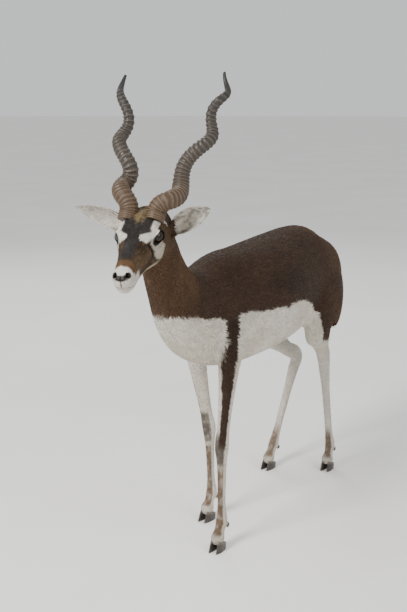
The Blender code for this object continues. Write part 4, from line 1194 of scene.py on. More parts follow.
def muzzle_layers(h, fray):
    """White nose and lips round a black pad, which has a thin line down its middle."""
    side, ahead, up = head_axes(h)
    bow = pad_height(side)
    pad = ease(ahead, 0.2240, 0.2280) * ease(np.abs(up - bow), 0.0062, 0.0042) * ease(side, 0.0185, 0.0160)
    furrow = ease(side, 0.0022, 0.0010) * ease(ahead, 0.226, 0.230) * ease(up, -0.0200, -0.018)
    return (
        ("rufous", ease(ahead + fray, 0.196, 0.201) * ease(up + fray, -0.004, 0.002) * 0.85),
        ("white", ease(ahead + fray, 0.2150, 0.2190) * ease(up, -0.001, 0.003)),
        ("lip", ease(ahead + fray, 0.180, 0.196) * ease(up + fray * 2, -0.004, -0.010)),
        ("lip", ease(ahead, 0.150, 0.180) * ease(up + fray, -0.030, -0.036) * 0.8),
        ("black", pad * 0.92),
        ("lip", ease(ahead, 0.206, 0.216) * ease(up, bow - 0.0045, bow - 0.0075) * (ahead < 0.25)),
        ("black", furrow * (up < 0.006)),
    )


def eye_and_nostril_layers(p, h, side):
    """Black in the nostril's oval, and in a rim that widens to the corners of the lids."""
    nostril = oval_distance(h, (0.0132, -0.2310, 0.0040), (0.0072, 0.0115, 0.0058), side)
    local, oval = eye_place(p, side)
    rim = (local[:, 2] > 0) & (np.linalg.norm(local, axis=1) < 0.034)
    edge = 1.14 + 0.32 * np.abs(local[:, 0]) / EYE_OPENING[0]
    return ("black", ease(nostril, 1.20, 0.90)), ("black", ease(oval, edge + 0.08, edge - 0.12) * rim)


def ear_colour(h, normals, side, share, opens):
    """Pale inside with grey mottles, more on the left ear, and brown behind with a dark tip."""
    facing = (normals @ HEAD_NP[:3, :3]) @ opens
    inside = ease(facing, -0.15, 0.15)
    mottles = 0.50 if side > 0 else 0.16
    return lay(
        np.tile(TONES["ear back"], (len(h), 1)),
        ("ear" if side > 0 else "white", inside),
        ("gold", inside * 0.5 * ease(facing, 0.55, 0.20)),
        ("blaze", inside * mottles * ease(lattice(h, 0.0075, 9), 0.50, 0.75)),
        ("shade", (1 - inside) * ease(share, 0.7, 1.0) * 0.6),
    )


def head_colour(p, normals):
    """Masks in head coordinates: side is the distance from the middle, ahead the distance forward."""
    h = to_head(p)
    _, ahead, up = head_axes(h)
    fray = frayed(h, (0.010, 5, 0.0036), (0.003, 6, 0.0030))
    fine = lattice(h * np.array((1, 0.4, 1)), 0.004, 7)
    patch = lattice(h, 0.030, 8)
    front_cheek = 0.85 * ease(ahead, 0.108, 0.124) * ease(ahead, 0.208, 0.185) * ease(patch, 0.22, 0.50)
    low_cheek = 0.7 * ease(up, -0.012, -0.032) * ease(ahead, 0.02, 0.06) * ease(patch, 0.20, 0.50)
    under = ease(normals @ HEAD_NP[:3, 2], -0.35, -0.75)
    mouth = ease(np.abs(up - mouth_height(ahead)), 0.0013, 0.0007) * (ahead > 0.178)
    colour = lay(
        np.tile(TONES["cheek"], (len(p), 1)),
        ("back", ease(ahead, 0.045, 0.000) * 0.75),
        ("nape", 0.5 * ease(patch, 0.5, 0.9) * ease(ahead, 0.06, 0.01)),
        ("cheek dark", front_cheek),
        ("cheek dark", low_cheek),
        ("gold", 0.45 * ease(lattice(h, 0.0055, 11), 0.62, 0.80) * ease(ahead, 0.09, 0.12)),
        ("cream", under * ease(ahead, 0.06, 0.12) * 0.8),
        *forehead_layers(h, fray, patch),
        *cheek_layers(h, fray),
        *muzzle_layers(h, fray),
        *eye_and_nostril_layers(p, h, 1),
        *eye_and_nostril_layers(p, h, -1),
        ("black", mouth * 0.75),
    )
    for side, (share, on, opens) in ear_place(h).items():
        colour = np.where(on[:, None], ear_colour(h, normals, side, share, opens), colour)
    return colour * (0.88 + 0.24 * fine)[:, None]


# %% Write the colour on the skin
SKIN_PAINTED_SHADE = 0.82  # painted shade: the skin, seen only between the tufts, is painted darker than the coat


def coat_colour(p, normals):
    """Body's colour * (1 - weight) + head's colour * weight."""
    r, _, _ = regions(p)
    weight = np.maximum(r["head"], r["ear"])[:, None]
    return np.clip(body_colour(p) * (1 - weight) + head_colour(p, normals) * weight, 0.002, 0.95)


def write_colour(mesh, colour):
    """Stores a colour for each point, with full cover as its fourth number."""
    layer = mesh.color_attributes.new("Coat", "FLOAT_COLOR", "POINT")
    with_alpha = np.column_stack([colour, np.ones(len(colour))])
    layer.data.foreach_set("color", with_alpha.astype(np.float32).ravel())


def write_number(mesh, name, values):
    """Stores a number for each point under a name."""
    layer = mesh.attributes.new(name, "FLOAT", "POINT")
    layer.data.foreach_set("value", np.asarray(values, np.float32))


points = points_of(skin.data)
normals = flat_read(skin.data.vertices, "normal", 3)
write_colour(skin.data, coat_colour(points, normals) * SKIN_PAINTED_SHADE)
weights, _, _ = regions(points)
for name in ("head", "neck", "leg"):
    write_number(skin.data, "Lie " + name, weights[name])
print("markings on", len(points), "points of the skin")

# %% [markdown]
# ## The tufts
#
# The coat is short and lies flat. Hair as curves would be lost in a mesh file, so each tuft is a
# small solid blade with three sides: a root under the skin, a middle that rises a little, and a tip.
# The blades overlap like tiles and follow the lie of the coat: back along the trunk, down the neck and
# the legs, from the nose backwards on the face and out along the ears. They are smallest on the face
# and the feet.

# %% Scatter the roots
random = np.random.default_rng(27)
REGION_SPECS = {  # roots a square metre, length, half width, thickness and lift of the tip, in metres
    "trunk": (66000, 0.0120, 0.00120, 0.00038, 0.0013),
    "neck": (84000, 0.0115, 0.00110, 0.00036, 0.0014),
    "leg": (120000, 0.0070, 0.00080, 0.00028, 0.0007),
    "foot": (170000, 0.0048, 0.00065, 0.00025, 0.0005),
    "head": (270000, 0.0052, 0.00052, 0.00022, 0.00045),
    "muzzle": (330000, 0.0032, 0.00040, 0.00018, 0.0003),
    "ear": (170000, 0.0048, 0.00042, 0.00016, 0.0004),
    "tail": (150000, 0.0180, 0.00100, 0.00040, 0.0030),
}


def region_label(p):
    """The name of each point's region. Later rules win."""
    r, h, _ = regions(p)
    label = np.full(len(p), "trunk", dtype="<U8")
    label[r["neck"] > 0.5] = "neck"
    label[p[:, 2] < 0.45] = "leg"
    label[p[:, 2] < 0.10] = "foot"
    label[r["tail"] > 0] = "tail"
    label[r["head"] > 0.5] = "head"
    label[(r["head"] > 0.5) & (-h[:, 1] > 0.165)] = "muzzle"
    label[r["ear"] > 0] = "ear"
    return label, h


def bare(p, h):
    """Places with no tufts: lids, nostrils, nose pad, the mouth's inside and the soles."""
    found = p[:, 2] < 0.024
    for mirror in (1, -1):
        local, oval = eye_place(p, mirror)
        found |= (oval < 1.45) & (local[:, 2] > -0.004) & (np.linalg.norm(local, axis=1) < 0.030)
        found |= oval_distance(h, (0.0128, -0.2310, 0.0040), (0.0068, 0.0115, 0.0066), mirror) < 1.0
    side, ahead, up = head_axes(h)
    found |= (ahead > 0.2260) & (side < 0.0165) & (np.abs(up - pad_height(side)) < 0.0052)
    found |= (ahead > 0.2260) & (side < 0.0016) & (up < 0.002)
    found |= (np.abs(up - mouth_height(ahead)) < 0.0012) & (ahead > 0.175)
    return found


skin.data.calc_loop_triangles()
corners = flat_read(skin.data.loop_triangles, "vertices", 3, int)
a, b, c = (points[corners[:, i]] for i in range(3))
area = 0.5 * np.linalg.norm(np.cross(b - a, c - a), axis=1)
middle = (a + b + c) / 3
label, middle_head = region_label(middle)
density = np.array([REGION_SPECS[name][0] for name in label])
expected = area * density * np.where(bare(middle, middle_head), 0.0, 1.0)
total = int(expected.sum())
pick = np.searchsorted(np.cumsum(expected), random.random(total) * expected.sum())
pick = np.clip(pick, 0, len(corners) - 1)
u, v = random.random(total), random.random(total)
flip = u + v > 1
u, v = np.where(flip, 1 - u, u), np.where(flip, 1 - v, v)
roots = a[pick] + (b[pick] - a[pick]) * u[:, None] + (c[pick] - a[pick]) * v[:, None]
blend = normals[corners[pick]]
root_normals = blend[:, 0] * (1 - u - v)[:, None] + blend[:, 1] * u[:, None] + blend[:, 2] * v[:, None]
root_normals = unit(root_normals)
root_label = label[pick]
print(total, "roots:", {name: int((root_label == name).sum()) for name in REGION_SPECS})


# %% Comb the coat
def lie_of_coat(p):
    """The way the hair lies, before it is laid flat on the skin."""
    r, h, ears = regions(p)
    down, back = np.array((0.0, 0.10, -1.0)), np.array((0.0, 1.0, -0.22))
    flow = np.tile(back, (len(p), 1))
    flow = flow + (down - flow) * ease(p[:, 2], 0.66, 0.46)[:, None] * 0.6
    flow = flow + (down - flow) * ease(p[:, 2], 0.50, 0.42)[:, None]
    neck = -NECK_RUNS + np.array((0.0, 0.15, 0.0))
    flow = flow + (neck - flow) * r["neck"][:, None]
    head = HEAD_NP[:3, :3] @ np.array((0.0, 1.0, 0.0))
    outwards = (np.sign(h[:, 0]) * ease(-h[:, 1], 0.20, 0.06) * 0.35)[:, None]
    spread = outwards * (HEAD_NP[:3, :3] @ np.array((1.0, 0, 0)))
    flow = flow + (head + spread - flow) * r["head"][:, None]
    flow = np.where((r["tail"] > 0)[:, None], np.array((0.0, 0.05, -1.0)), flow)
    for mirror, (_, on, _) in ears.items():
        flow = np.where(on[:, None], HEAD_NP[:3, :3] @ ear_frame(mirror)[1], flow)
    return flow


flow = lie_of_coat(roots) + random.normal(0, 0.16, (total, 3))
flow -= root_normals * np.sum(flow * root_normals, axis=1)[:, None]
flow /= np.maximum(np.linalg.norm(flow, axis=1), 1e-6)[:, None]
root_colour = coat_colour(roots, root_normals)
bright = root_colour.mean(axis=1)
root_colour *= (1 + (random.random(total) - 0.5) * np.interp(bright, [0.05, 0.4], [0.46, 0.16]))[:, None]


def unwrap(p, name):
    """The skin's own unwrap: round the trunk, a leg or the head by its angle, and along it by distance."""
    x, y, z = p.T
    if name in ("head", "muzzle", "ear"):
        h = to_head(p)
        u = np.arctan2(h[:, 0], h[:, 2]) / (2 * math.pi) + 0.5
        return np.column_stack([u, (0.26 + h[:, 1] + 0.25 * np.abs(h[:, 0])) / 0.36])
    if name in ("leg", "foot"):
        number, _, angle = leg_place(p)
        return np.column_stack([(number % 2) * 0.5 + (angle + 180) / 720, z / 0.46])
    if name == "tail":
        return np.column_stack([np.arctan2(x, y - 0.45) / (2 * math.pi) + 0.5, (z - 0.50) / 0.22])
    u = np.arctan2(x, z - np.interp(y, [-0.6, -0.4, 0.4], [0.80, 0.66, 0.65])) / (2 * math.pi) + 0.5
    return np.column_stack([u, (y + 0.68) / 1.16])


def column(values):
    """Numbers as a column, so that each multiplies a row of points."""
    return values[:, None]


TUFT_FACES = np.array(
    [[0, 1, 2], [0, 3, 4], [0, 4, 1], [1, 4, 5], [1, 5, 2], [2, 5, 3], [2, 3, 0]]
    + [[3, 6, 4], [4, 6, 5], [5, 6, 3]]
)
# Painted shade and light: each tuft's root, under the tufts that overlap it, is painted darker, and its tip
# is painted lighter.
TUFT_PAINTED_SHADE_AND_LIGHT = np.array((0.72, 0.72, 0.80, 0.95, 0.95, 1.0, 1.12))[None, :, None]
TUFT_PATCH = np.array([(-1, -1), (1, -1), (0, -0.6), (-0.8, 0.3), (0.8, 0.3), (0, 0.4), (0, 1)]) * 0.0015


def tuft_points(chosen):
    """Root, middle at half the length, and tip at the length, lifted along the normal."""
    p, n, t = roots[chosen], root_normals[chosen], flow[chosen]
    s = np.cross(n, t)
    spec = np.array([REGION_SPECS[k] for k in root_label[chosen]])
    length = spec[:, 1] * (0.75 + 0.5 * random.random(len(p)))
    half, thick, lift = spec[:, 2], spec[:, 3], spec[:, 4] * (0.6 + 0.8 * random.random(len(p)))
    base, mid = p - n * column(thick * 1.6), p + t * column(length * 0.5) + n * column(lift * 0.55)
    bend = s * column(random.normal(0, 0.08, len(p)) * length)
    return np.stack(
        [
            base - s * column(half),
            base + s * column(half),
            base + n * column(thick * 2.4),
            mid - s * column(half * 0.85),
            mid + s * column(half * 0.85),
            mid + n * column(thick),
            p + t * column(length) + n * column(lift) + bend,
        ],
        1,
    )


def tufts(name, chosen):
    """Seven points a tuft: three at the root, three in the middle and the tip, and ten triangles."""
    made = tuft_points(chosen)
    count = len(chosen)
    faces = (TUFT_FACES[None] + (np.arange(count) * 7)[:, None, None]).reshape(-1, 3)
    mesh = bpy.data.meshes.new(name)
    mesh.vertices.add(count * 7)
    mesh.vertices.foreach_set("co", made.ravel())
    mesh.loops.add(count * 30)
    mesh.loops.foreach_set("vertex_index", faces.ravel())
    mesh.polygons.add(count * 10)
    mesh.polygons.foreach_set("loop_start", np.arange(count * 10) * 3)
    mesh.update(calc_edges=True)
    mesh.validate()
    # Pale tufts get less of the painted shade at the root and the painted light at the tip.
    pale = np.interp(bright[chosen], [0.05, 0.4], [0.0, 0.65])[:, None, None]
    colour = root_colour[chosen][:, None, :] * (TUFT_PAINTED_SHADE_AND_LIGHT + (1.0 - TUFT_PAINTED_SHADE_AND_LIGHT) * pale)
    write_colour(mesh, np.clip(colour.reshape(-1, 3), 0, 0.95))
    spots = np.empty((count, 2))
    for kind in np.unique(root_label[chosen]):
        mine = root_label[chosen] == kind
        spots[mine] = unwrap(roots[chosen][mine], kind)
    uv = (np.clip(spots, 0.004, 0.996)[:, None, :] + TUFT_PATCH[None]).reshape(-1, 2)
    layer = mesh.uv_layers.new(name="OFBake")
    layer.data.foreach_set("uv", uv[faces.ravel()].astype(np.float32).ravel())
    return linked(name, mesh)


# %% Make the coat in pieces
def is_in(*names):
    """Roots whose region is one of the names."""
    return np.isin(root_label, names)


left, behind = roots[:, 0] > 0, roots[:, 1] > 0.02
PARTS = {
    "coat_rump_left": is_in("trunk") & left & behind,
    "coat_rump_right": is_in("trunk") & ~left & behind,
    "coat_chest_left": is_in("trunk") & left & ~behind,
    "coat_chest_right": is_in("trunk") & ~left & ~behind,
    "coat_neck": is_in("neck"),
    "coat_head": is_in("head"),
    "coat_muzzle_ears": is_in("muzzle", "ear"),
    "coat_fore_legs": is_in("leg", "foot") & (roots[:, 1] < 0.05),
    "coat_hind_legs": is_in("leg", "foot") & (roots[:, 1] >= 0.05),
    "coat_tail": is_in("tail"),
}
coat = [tufts(name, np.flatnonzero(mask)) for name, mask in PARTS.items()]
print({piece.name: len(piece.data.polygons) for piece in coat})

# %% [markdown]
# ## The horns
#
# Each horn is a screw about an axis that leans back and out. A tube runs along the screw. Its rings
# are humps with a sharp crest and a round valley, closer together near the tip, and the last sixth is
# smooth. The rings lean a little, as they do on an old horn. The section is carried along the curve
# without twist.

# %% Write the horn
HORNS = {  # root, degrees back and out, length, swing, taper, bow out, bow back, half turns
    1: (
        (0.0310, -0.0446, 0.0509), 50.5, 30.2, 0.3777, 0.0144, 0.365, 0.0216, -0.0056,
        ((0.0, 0.0), (0.159, 1.0), (0.365, 2.0), (0.579, 3.0), (0.737, 4.0), (0.888, 5.0), (1.0, 5.86)),
    ),
    -1: (
        (0.0310, -0.0449, 0.0503), 53.1, 15.7, 0.3694, 0.0127, 0.195, 0.0043, -0.0070,
        ((0.0, 0.0), (0.178, 1.0), (0.307, 2.0), (0.517, 3.0), (0.675, 4.0), (0.903, 5.0), (1.0, 5.30)),
    ),
}
HORN_THICK = ((0.0, 0.0215), (0.10, 0.0205), (0.35, 0.0170), (0.60, 0.0135), (0.85, 0.0088), (1.0, 0.0032))
RING_HEIGHT = ((-0.04, 0.0010), (0.03, 0.0014), (0.10, 0.0019), (0.70, 0.0019), (0.84, 0.0009), (0.90, 0.0))
HORN_RINGS = 41
HORN_SUNK = 0.038


def horn_line(side, share):
    """Axis * share + swing * (cos, sin) of the phase, with a bow of 4 s (1 - s)."""
    root, back, spread, length, swing, taper, bow_out, bow_back, turns = HORNS[side]
    phase = read_row(turns, share) * math.pi
    swing = swing * np.clip(share / 0.09, 0, 1) * (1.0 - taper * share)
    turn = np.array(
        Matrix.Rotation(math.radians(side * spread), 3, "Y") @ Matrix.Rotation(math.radians(-back), 3, "X")
    )
    out, behind, up = turn[:, 0] * side, turn[:, 1], turn[:, 2]
    bow = np.maximum(4.0 * share * (1.0 - share), 0)
    return (
        np.array(mirrored(root, side))
        + up * (share * length)[:, None]
        - out * (np.cos(phase) * swing - bow_out * bow)[:, None]
        - behind * (np.sin(phase) * swing - bow_back * bow)[:, None]
    )


def horn(side, name):
    """Radius = thickness + crest height * (crest - 0.4), where the crest is a sharpened cosine."""
    sides, rings = 72, 520
    fine = horn_line(side, np.linspace(0.0, 1.0, 900))
    run = np.concatenate([[0.0], np.cumsum(np.linalg.norm(np.diff(fine, axis=0), axis=1))])
    run /= run[-1]
    at = np.linspace(-HORN_SUNK, 1.0, rings)
    start = (fine[1] - fine[0]) / run[1]

    def read(where):
        """The line at a share of its run, carried straight on before its start."""
        inside = np.clip(where, 0.0, 1.0)
        found = np.stack([np.interp(inside, run, fine[:, k]) for k in range(3)], 1)
        return found + start * (where - inside)[:, None]

    centre = read(at)
    along = unit(read(np.minimum(at + 0.008, 1.0)) - read(at - 0.008))
    first, last = [], np.array((1.0, 0.0, 0.0))
    for step in along:
        last = last - step * np.dot(last, step)
        last = last / np.linalg.norm(last)
        first.append(last)
    first = np.array(first)
    second = np.cross(along, first)
    turn = round_turns(sides)
    round_ring, run_along = turn[None, :], at[:, None]
    ring_number = HORN_RINGS * np.clip((at + HORN_SUNK) / (0.86 + HORN_SUNK), 0, 1) ** 0.78 - 0.5
    lean = 0.16 * np.sin(round_ring + 6.0 * run_along) + 0.10 * np.sin(3 * round_ring + 31 * run_along)
    crest = (0.5 + 0.5 * np.cos(2 * math.pi * (ring_number[:, None] + lean))) ** 1.8
    tall = read_table(RING_HEIGHT, at)
    fade = np.interp(at, [0, 0.85, 0.95], [1, 0.8, 0])[:, None]
    rough = 0.00018 * np.sin(17 * round_ring + 9 * run_along) * fade
    radius = read_row(HORN_THICK, at)[:, None] + tall[:, None] * (crest - 0.5) + rough
    ring = np.cos(turn)[None, :, None] * first[:, None] + np.sin(turn)[None, :, None] * second[:, None]
    made = centre[:, None] + radius[:, :, None] * ring
    tip = centre[-1] + along[-1] * 0.0025
    made = np.vstack([made.reshape(-1, 3), centre[:1], [tip]])
    piece = smoothed(mesh_piece(name, from_head(made), ring_faces(rings, sides)))
    write_number(piece.data, "Along", np.append(np.repeat(at, sides), [0, 1]))
    write_number(piece.data, "Crest", np.append(crest.ravel() * (at < 0.88).repeat(sides), [0, 0]))
    write_number(piece.data, "Around", np.append(np.tile(np.cos(turn), rings), [0, 0]))
    return piece


horns = {name: horn(side, "sheath_" + name) for side, name in ((1, "left"), (-1, "right"))}
print({name: triangles_of(piece.data) for name, piece in horns.items()})

# %% [markdown]
# ## The eyes
#
# The eye is a ball under the lids, with a clear front that bulges a little. The iris is dark brown and
# the pupil is a wide oval that lies level. They are drawn by the material from the ball's own
# coordinates, which each point carries as an attribute.

# %% Write the eye
def globe(side, name):
    """Radius = ball + bulge * smooth rise towards the way it looks."""
    made, faces = ball((0, 0, 0), (1, 1, 1), 72, 48)
    bulge = ease(made[:, 2], 0.55, 1.0)
    local = made * (EYE_RADIUS - 0.0001 + 0.0007 * bulge)[:, None]
    piece = smoothed(mesh_piece(name, placed(local, eye_frame(side)), faces))
    layer = piece.data.attributes.new("Gaze", "FLOAT_VECTOR", "POINT")
    layer.data.foreach_set("vector", made.astype(np.float32).ravel())
    return piece


eyes = {name: globe(side, "globe_" + name) for side, name in ((1, "left"), (-1, "right"))}

# %% [markdown]
# ## The claws
#
# A blackbuck walks on two pointed claws a foot. The outline of the sole is drawn once, with its toe,
# its straight inner wall and its round heel, and carried up the wall at five heights, each shorter and
# further back. A periodic smooth reading makes both directions fine.

# %% Write the claw
CLAW_LENGTH, CLAW_WIDTH, CLAW_HEIGHT = 0.050, 0.0175, 0.030
SOLE = (
    (0.0, -0.62), (0.32, -0.50), (0.62, -0.28), (0.86, 0.02), (0.94, 0.26), (0.72, 0.40),
    (0.10, 0.42), (-0.42, 0.40), (-0.86, 0.30), (-0.98, 0.05), (-0.90, -0.26), (-0.48, -0.50),
)
WALL = ((0.0, 0.955, 0.0), (0.0016, 1.0, 0.0), (0.35, 0.93, 0.10), (0.72, 0.86, 0.19), (1.0, 0.74, 0.25))


def round_outline(rows, count):
    """A closed outline read finely: a cubic between its corners, each slope that of its neighbours."""
    rows = np.array(rows, float)
    t = np.arange(count) * len(rows) / count
    i = t.astype(int)
    f = (t - i)[:, None]
    p0, p1, p2, p3 = (rows[(i + k) % len(rows)] for k in (-1, 0, 1, 2))
    square, cube = (2 * p0 - 5 * p1 + 4 * p2 - p3) * f**2, (3 * p1 - p0 - 3 * p2 + p3) * f**3
    return 0.5 * (2 * p1 + (p2 - p0) * f + square + cube)


def claw(coronet, side, yaw, name):
    """The sole's outline at each height, times the wall's share there and moved back by it."""
    outline = round_outline(SOLE, 72)
    outline[:, 0] *= -1
    heights = np.concatenate([[0.0, 0.0004, 0.0010, 0.0022], np.linspace(0.004, CLAW_HEIGHT, 24)])
    share = heights / CLAW_HEIGHT
    table = np.array(WALL)
    edge = np.array([0.955, 0.978, 0.992] + [1.0] * (len(share) - 3))
    size = np.interp(share, table[1:, 0], table[1:, 1]) * edge
    back = np.interp(share, table[1:, 0], table[1:, 2])
    groove = 1.0 + 0.006 * np.sin(share * 60) * (share > 0.1) * (share < 0.95)
    plan_x = outline[None, :, 0] * CLAW_WIDTH / 2 * (size**0.5 * groove)[:, None]
    plan_y = outline[None, :, 1] * CLAW_LENGTH * (size * groove)[:, None]
    plan_y = plan_y + (back * CLAW_LENGTH * 0.55)[:, None]
    drop = 0.42 * share * CLAW_HEIGHT * (share > 0.08)
    tall = heights[:, None] - drop[:, None] * np.clip((outline[None, :, 1] + 0.62) / 1.04, 0, 1)
    made = np.stack([plan_x * side, plan_y, np.maximum(tall, heights[:, None] * 0.4)], 2)
    top = made[-1].mean(axis=0) + (0, 0, 0.001)
    made = np.vstack([made.reshape(-1, 3), made[0].mean(axis=0)[None], top[None]])
    made[:, 0] += side * (CLAW_WIDTH / 2 + 0.0014)
    place = Matrix.Translation((coronet[0], coronet[1], 0.0)) @ Matrix.Rotation(math.radians(yaw), 4, "Z")
    piece = smoothed(mesh_piece(name, placed(made, place), ring_faces(len(heights), 72)))
    write_number(piece.data, "Rise", np.append(share.repeat(72), [0, 1]))
    return piece


claws = {}
for limb, joints in LIMBS.items():
    hand = 1 if limb.endswith("left") else -1
    fore, where = limb.split("_")[0], limb.split("_")[2]
    for side, place in ((1, "outer"), (-1, "inner")):
        node = f"hoof_{fore}_{where}_{place}"
        claws[node] = claw(joints["coronet"], side * hand, hand * 4.0, f"claw_{fore}_{where}_{place}")
print(len(claws), "claws")


# %% [markdown]
# ## Materials
#
# Every finish is one surface shader with a few nodes before it. The coat reads the markings from the
# attribute that skin and tufts carry, and adds noise in three sizes. The skin's bump is streaked along
# the lie of the coat: one noise a region, stretched along the hair, mixed by the region's weight.

# %% Write the node helpers
def material(name, roughness, specular=0.5):
    """A new surface shader of a roughness and a shine."""
    made = bpy.data.materials.new(name)
    made.use_nodes = True
    shader = made.node_tree.nodes["Principled BSDF"]
    shader.inputs["Roughness"].default_value = roughness
    shader.inputs["Specular IOR Level"].default_value = specular
    return made, made.node_tree, shader


def node(tree, kind, values=None, **settings):
    """A new node with its settings and the values of its inputs."""
    made = tree.nodes.new(kind)
    for key, value in settings.items():
        setattr(made, key, value)
    for key, value in (values or {}).items():
        made.inputs[key].default_value = value
    return made


def noise(tree, vector, scale, detail=3.0, stretch=(1, 1, 1), turn=(0, 0, 0)):
    """A noise from 0 to 1 in coordinates that are stretched and turned first."""
    mapping = node(tree, "ShaderNodeMapping", {"Scale": stretch, "Rotation": turn})
    tree.links.new(vector, mapping.inputs["Vector"])
    made = node(tree, "ShaderNodeTexNoise", {"Scale": scale, "Detail": detail})
    tree.links.new(mapping.outputs["Vector"], made.inputs["Vector"])
    return made.outputs["Fac"]


def mixed(tree, share, one, two):
    """A colour mix. A number or a colour may stand for either side."""
    made = node(tree, "ShaderNodeMix", data_type="RGBA")
    for socket, value in ((made.inputs[0], share), (made.inputs[6], one), (made.inputs[7], two)):
        if hasattr(value, "links"):
            tree.links.new(value, socket)
        elif isinstance(value, (int, float)):
            socket.default_value = value
        else:
            socket.default_value = (*value, 1.0) if len(value) == 3 else value
    return made.outputs[2]


def ramped(tree, value, low, high, to_low=0.0, to_high=1.0):
    """Low to high, carried in a straight line to the two new values."""
    made = node(tree, "ShaderNodeMapRange", {1: low, 2: high, 3: to_low, 4: to_high})
    tree.links.new(value, made.inputs[0])
    return made.outputs[0]


def calculated(tree, operation, one, two):
    """One number worked out from one or two others."""
    made = node(tree, "ShaderNodeMath", operation=operation)
    for socket, value in ((made.inputs[0], one), (made.inputs[1], two)):
        if hasattr(value, "links"):
            tree.links.new(value, socket)
        else:
            socket.default_value = value
    return made.outputs[0]


def object_place(tree):
    """The point's place in the object's own coordinates."""
    return node(tree, "ShaderNodeTexCoord").outputs["Object"]


def attribute(tree, name, output="Fac"):
    """A value that the mesh stores under a name."""
    return node(tree, "ShaderNodeAttribute", attribute_name=name).outputs[output]


def bump(tree, shader, height, strength, distance):
    """Tilts the normal by the slope of the height times the distance."""
    made = node(tree, "ShaderNodeBump", {"Strength": strength, "Distance": distance})
    tree.links.new(height, made.inputs["Height"])
    tree.links.new(made.outputs["Normal"], shader.inputs["Normal"])


# %% Make the finish of the coat
def coat_finish(name, with_lie):
    """The stored colour, lighter where a fine noise is high and darker where it is low."""
    made, tree, shader = material(name, 0.68, 0.14)
    place = object_place(tree)
    colour = attribute(tree, "Coat", "Color")
    broad, close = noise(tree, place, 9.0, 4.0), noise(tree, place, 160.0, 3.0, (1, 0.3, 1))
    dark = mixed(tree, 0.5, colour, (0.0, 0.0, 0.0))
    light = mixed(tree, 0.14, colour, (0.40, 0.32, 0.24))
    one = mixed(tree, ramped(tree, broad, 0.35, 0.70, 0.0, 0.30), colour, dark)
    two = mixed(tree, ramped(tree, close, 0.52, 0.78, 0.0, 0.45), one, light)
    three = mixed(tree, ramped(tree, close, 0.46, 0.26, 0.0, 0.40), two, dark)
    tree.links.new(three, shader.inputs["Base Color"])
    tree.links.new(ramped(tree, close, 0.3, 0.7, 0.52, 0.74), shader.inputs["Roughness"])
    if with_lie:
        height = noise(tree, place, 900.0, 4.0, (1, 0.14, 1))
        for region, stretch, turn in (
            ("leg", (1, 1, 0.14), (0, 0, 0)),
            ("neck", (1, 1, 0.14), (0.72, 0, 0)),
            ("head", (1, 0.16, 1), (-0.36, 0, -0.29)),
        ):
            other = noise(tree, place, 1200.0 if region == "head" else 900.0, 4.0, stretch, turn)
            height = mixed(tree, attribute(tree, "Lie " + region), height, other)
        bump(tree, shader, height, 0.55, 0.0012)
    else:
        bump(tree, shader, noise(tree, place, 1500.0, 2.0), 0.25, 0.0004)
    return made


hide = coat_finish("hide", True)
fur = coat_finish("fur", False)
skin.data.materials.append(hide)
for piece in coat:
    piece.data.materials.append(fur)

# %% [markdown]
# ## Horn, hoof and eye
#
# Horn is a stiff stuff of fibres. It is tan and dull near the head, grey above and dark and smooth at
# the tip, darker in the valleys of the rings and paler on their crests. Hoof has fine lines down its wall
# and a pale edge at the coronet. The eye is wet, so it gets a clear coat.

# %% Make the finishes of horn and hoof
def horn_finish():
    """Three tones along the horn, darker where the crest is low and paler where it is high."""
    made, tree, shader = material("horn", 0.48, 0.42)
    place, along, crest = object_place(tree), attribute(tree, "Along"), attribute(tree, "Crest")
    blotch, grain = noise(tree, place, 26.0, 5.0), noise(tree, place, 420.0, 3.0)
    base = mixed(tree, ramped(tree, along, 0.05, 0.34), tone(86, 65, 43), tone(62, 54, 46))
    base = mixed(tree, ramped(tree, along, 0.42, 0.90), base, tone(38, 36, 34))
    dark_horn = mixed(tree, 0.50, base, (0.012, 0.009, 0.006))
    pale_horn = mixed(tree, 0.14, base, (0.38, 0.31, 0.22))
    # Darker in the valleys between the rings and paler on their crests.
    colour = mixed(tree, ramped(tree, crest, 0.42, 0.02), base, dark_horn)
    colour = mixed(tree, ramped(tree, crest, 0.55, 1.0, 0.0, 0.85), colour, pale_horn)
    colour = mixed(tree, ramped(tree, blotch, 0.40, 0.75, 0.0, 0.45), colour, dark_horn)
    colour = mixed(tree, ramped(tree, grain, 0.45, 0.80, 0.0, 0.30), colour, pale_horn)
    tree.links.new(colour, shader.inputs["Base Color"])
    tree.links.new(ramped(tree, blotch, 0.3, 0.7, 0.36, 0.62), shader.inputs["Roughness"])
    height = calculated(tree, "ADD", grain, calculated(tree, "MULTIPLY", noise(tree, place, 140.0, 4.0), 1.5))
    bump(tree, shader, height, 0.35, 0.0006)
    return made


def hoof_finish():
    """A dark wall that pales towards the coronet, with fine upright lines."""
    made, tree, shader = material("hoof", 0.42, 0.45)
    place, rise = object_place(tree), attribute(tree, "Rise")
    lines, blotch = noise(tree, place, 700.0, 2.0, (1, 1, 0.10)), noise(tree, place, 60.0, 4.0)
    base = mixed(tree, ramped(tree, rise, 0.72, 1.0), tone(58, 52, 48), tone(112, 100, 88))
    colour = mixed(tree, ramped(tree, lines, 0.45, 0.75, 0.0, 0.6), base, tone(96, 86, 76))
    colour = mixed(tree, ramped(tree, blotch, 0.5, 0.8, 0.0, 0.5), colour, tone(38, 34, 31))
    colour = mixed(tree, ramped(tree, rise, 0.10, 0.0, 0.0, 0.6), colour, tone(122, 110, 96))
    tree.links.new(colour, shader.inputs["Base Color"])
    tree.links.new(ramped(tree, blotch, 0.3, 0.7, 0.34, 0.56), shader.inputs["Roughness"])
    bump(tree, shader, lines, 0.4, 0.0004)
    return made


horn_stuff, hoof_stuff = horn_finish(), hoof_finish()
for piece in horns.values():
    piece.data.materials.append(horn_stuff)
for piece in claws.values():
    piece.data.materials.append(hoof_stuff)


# %% Make the finish of the eye
PUPIL = (0.46, 0.24)


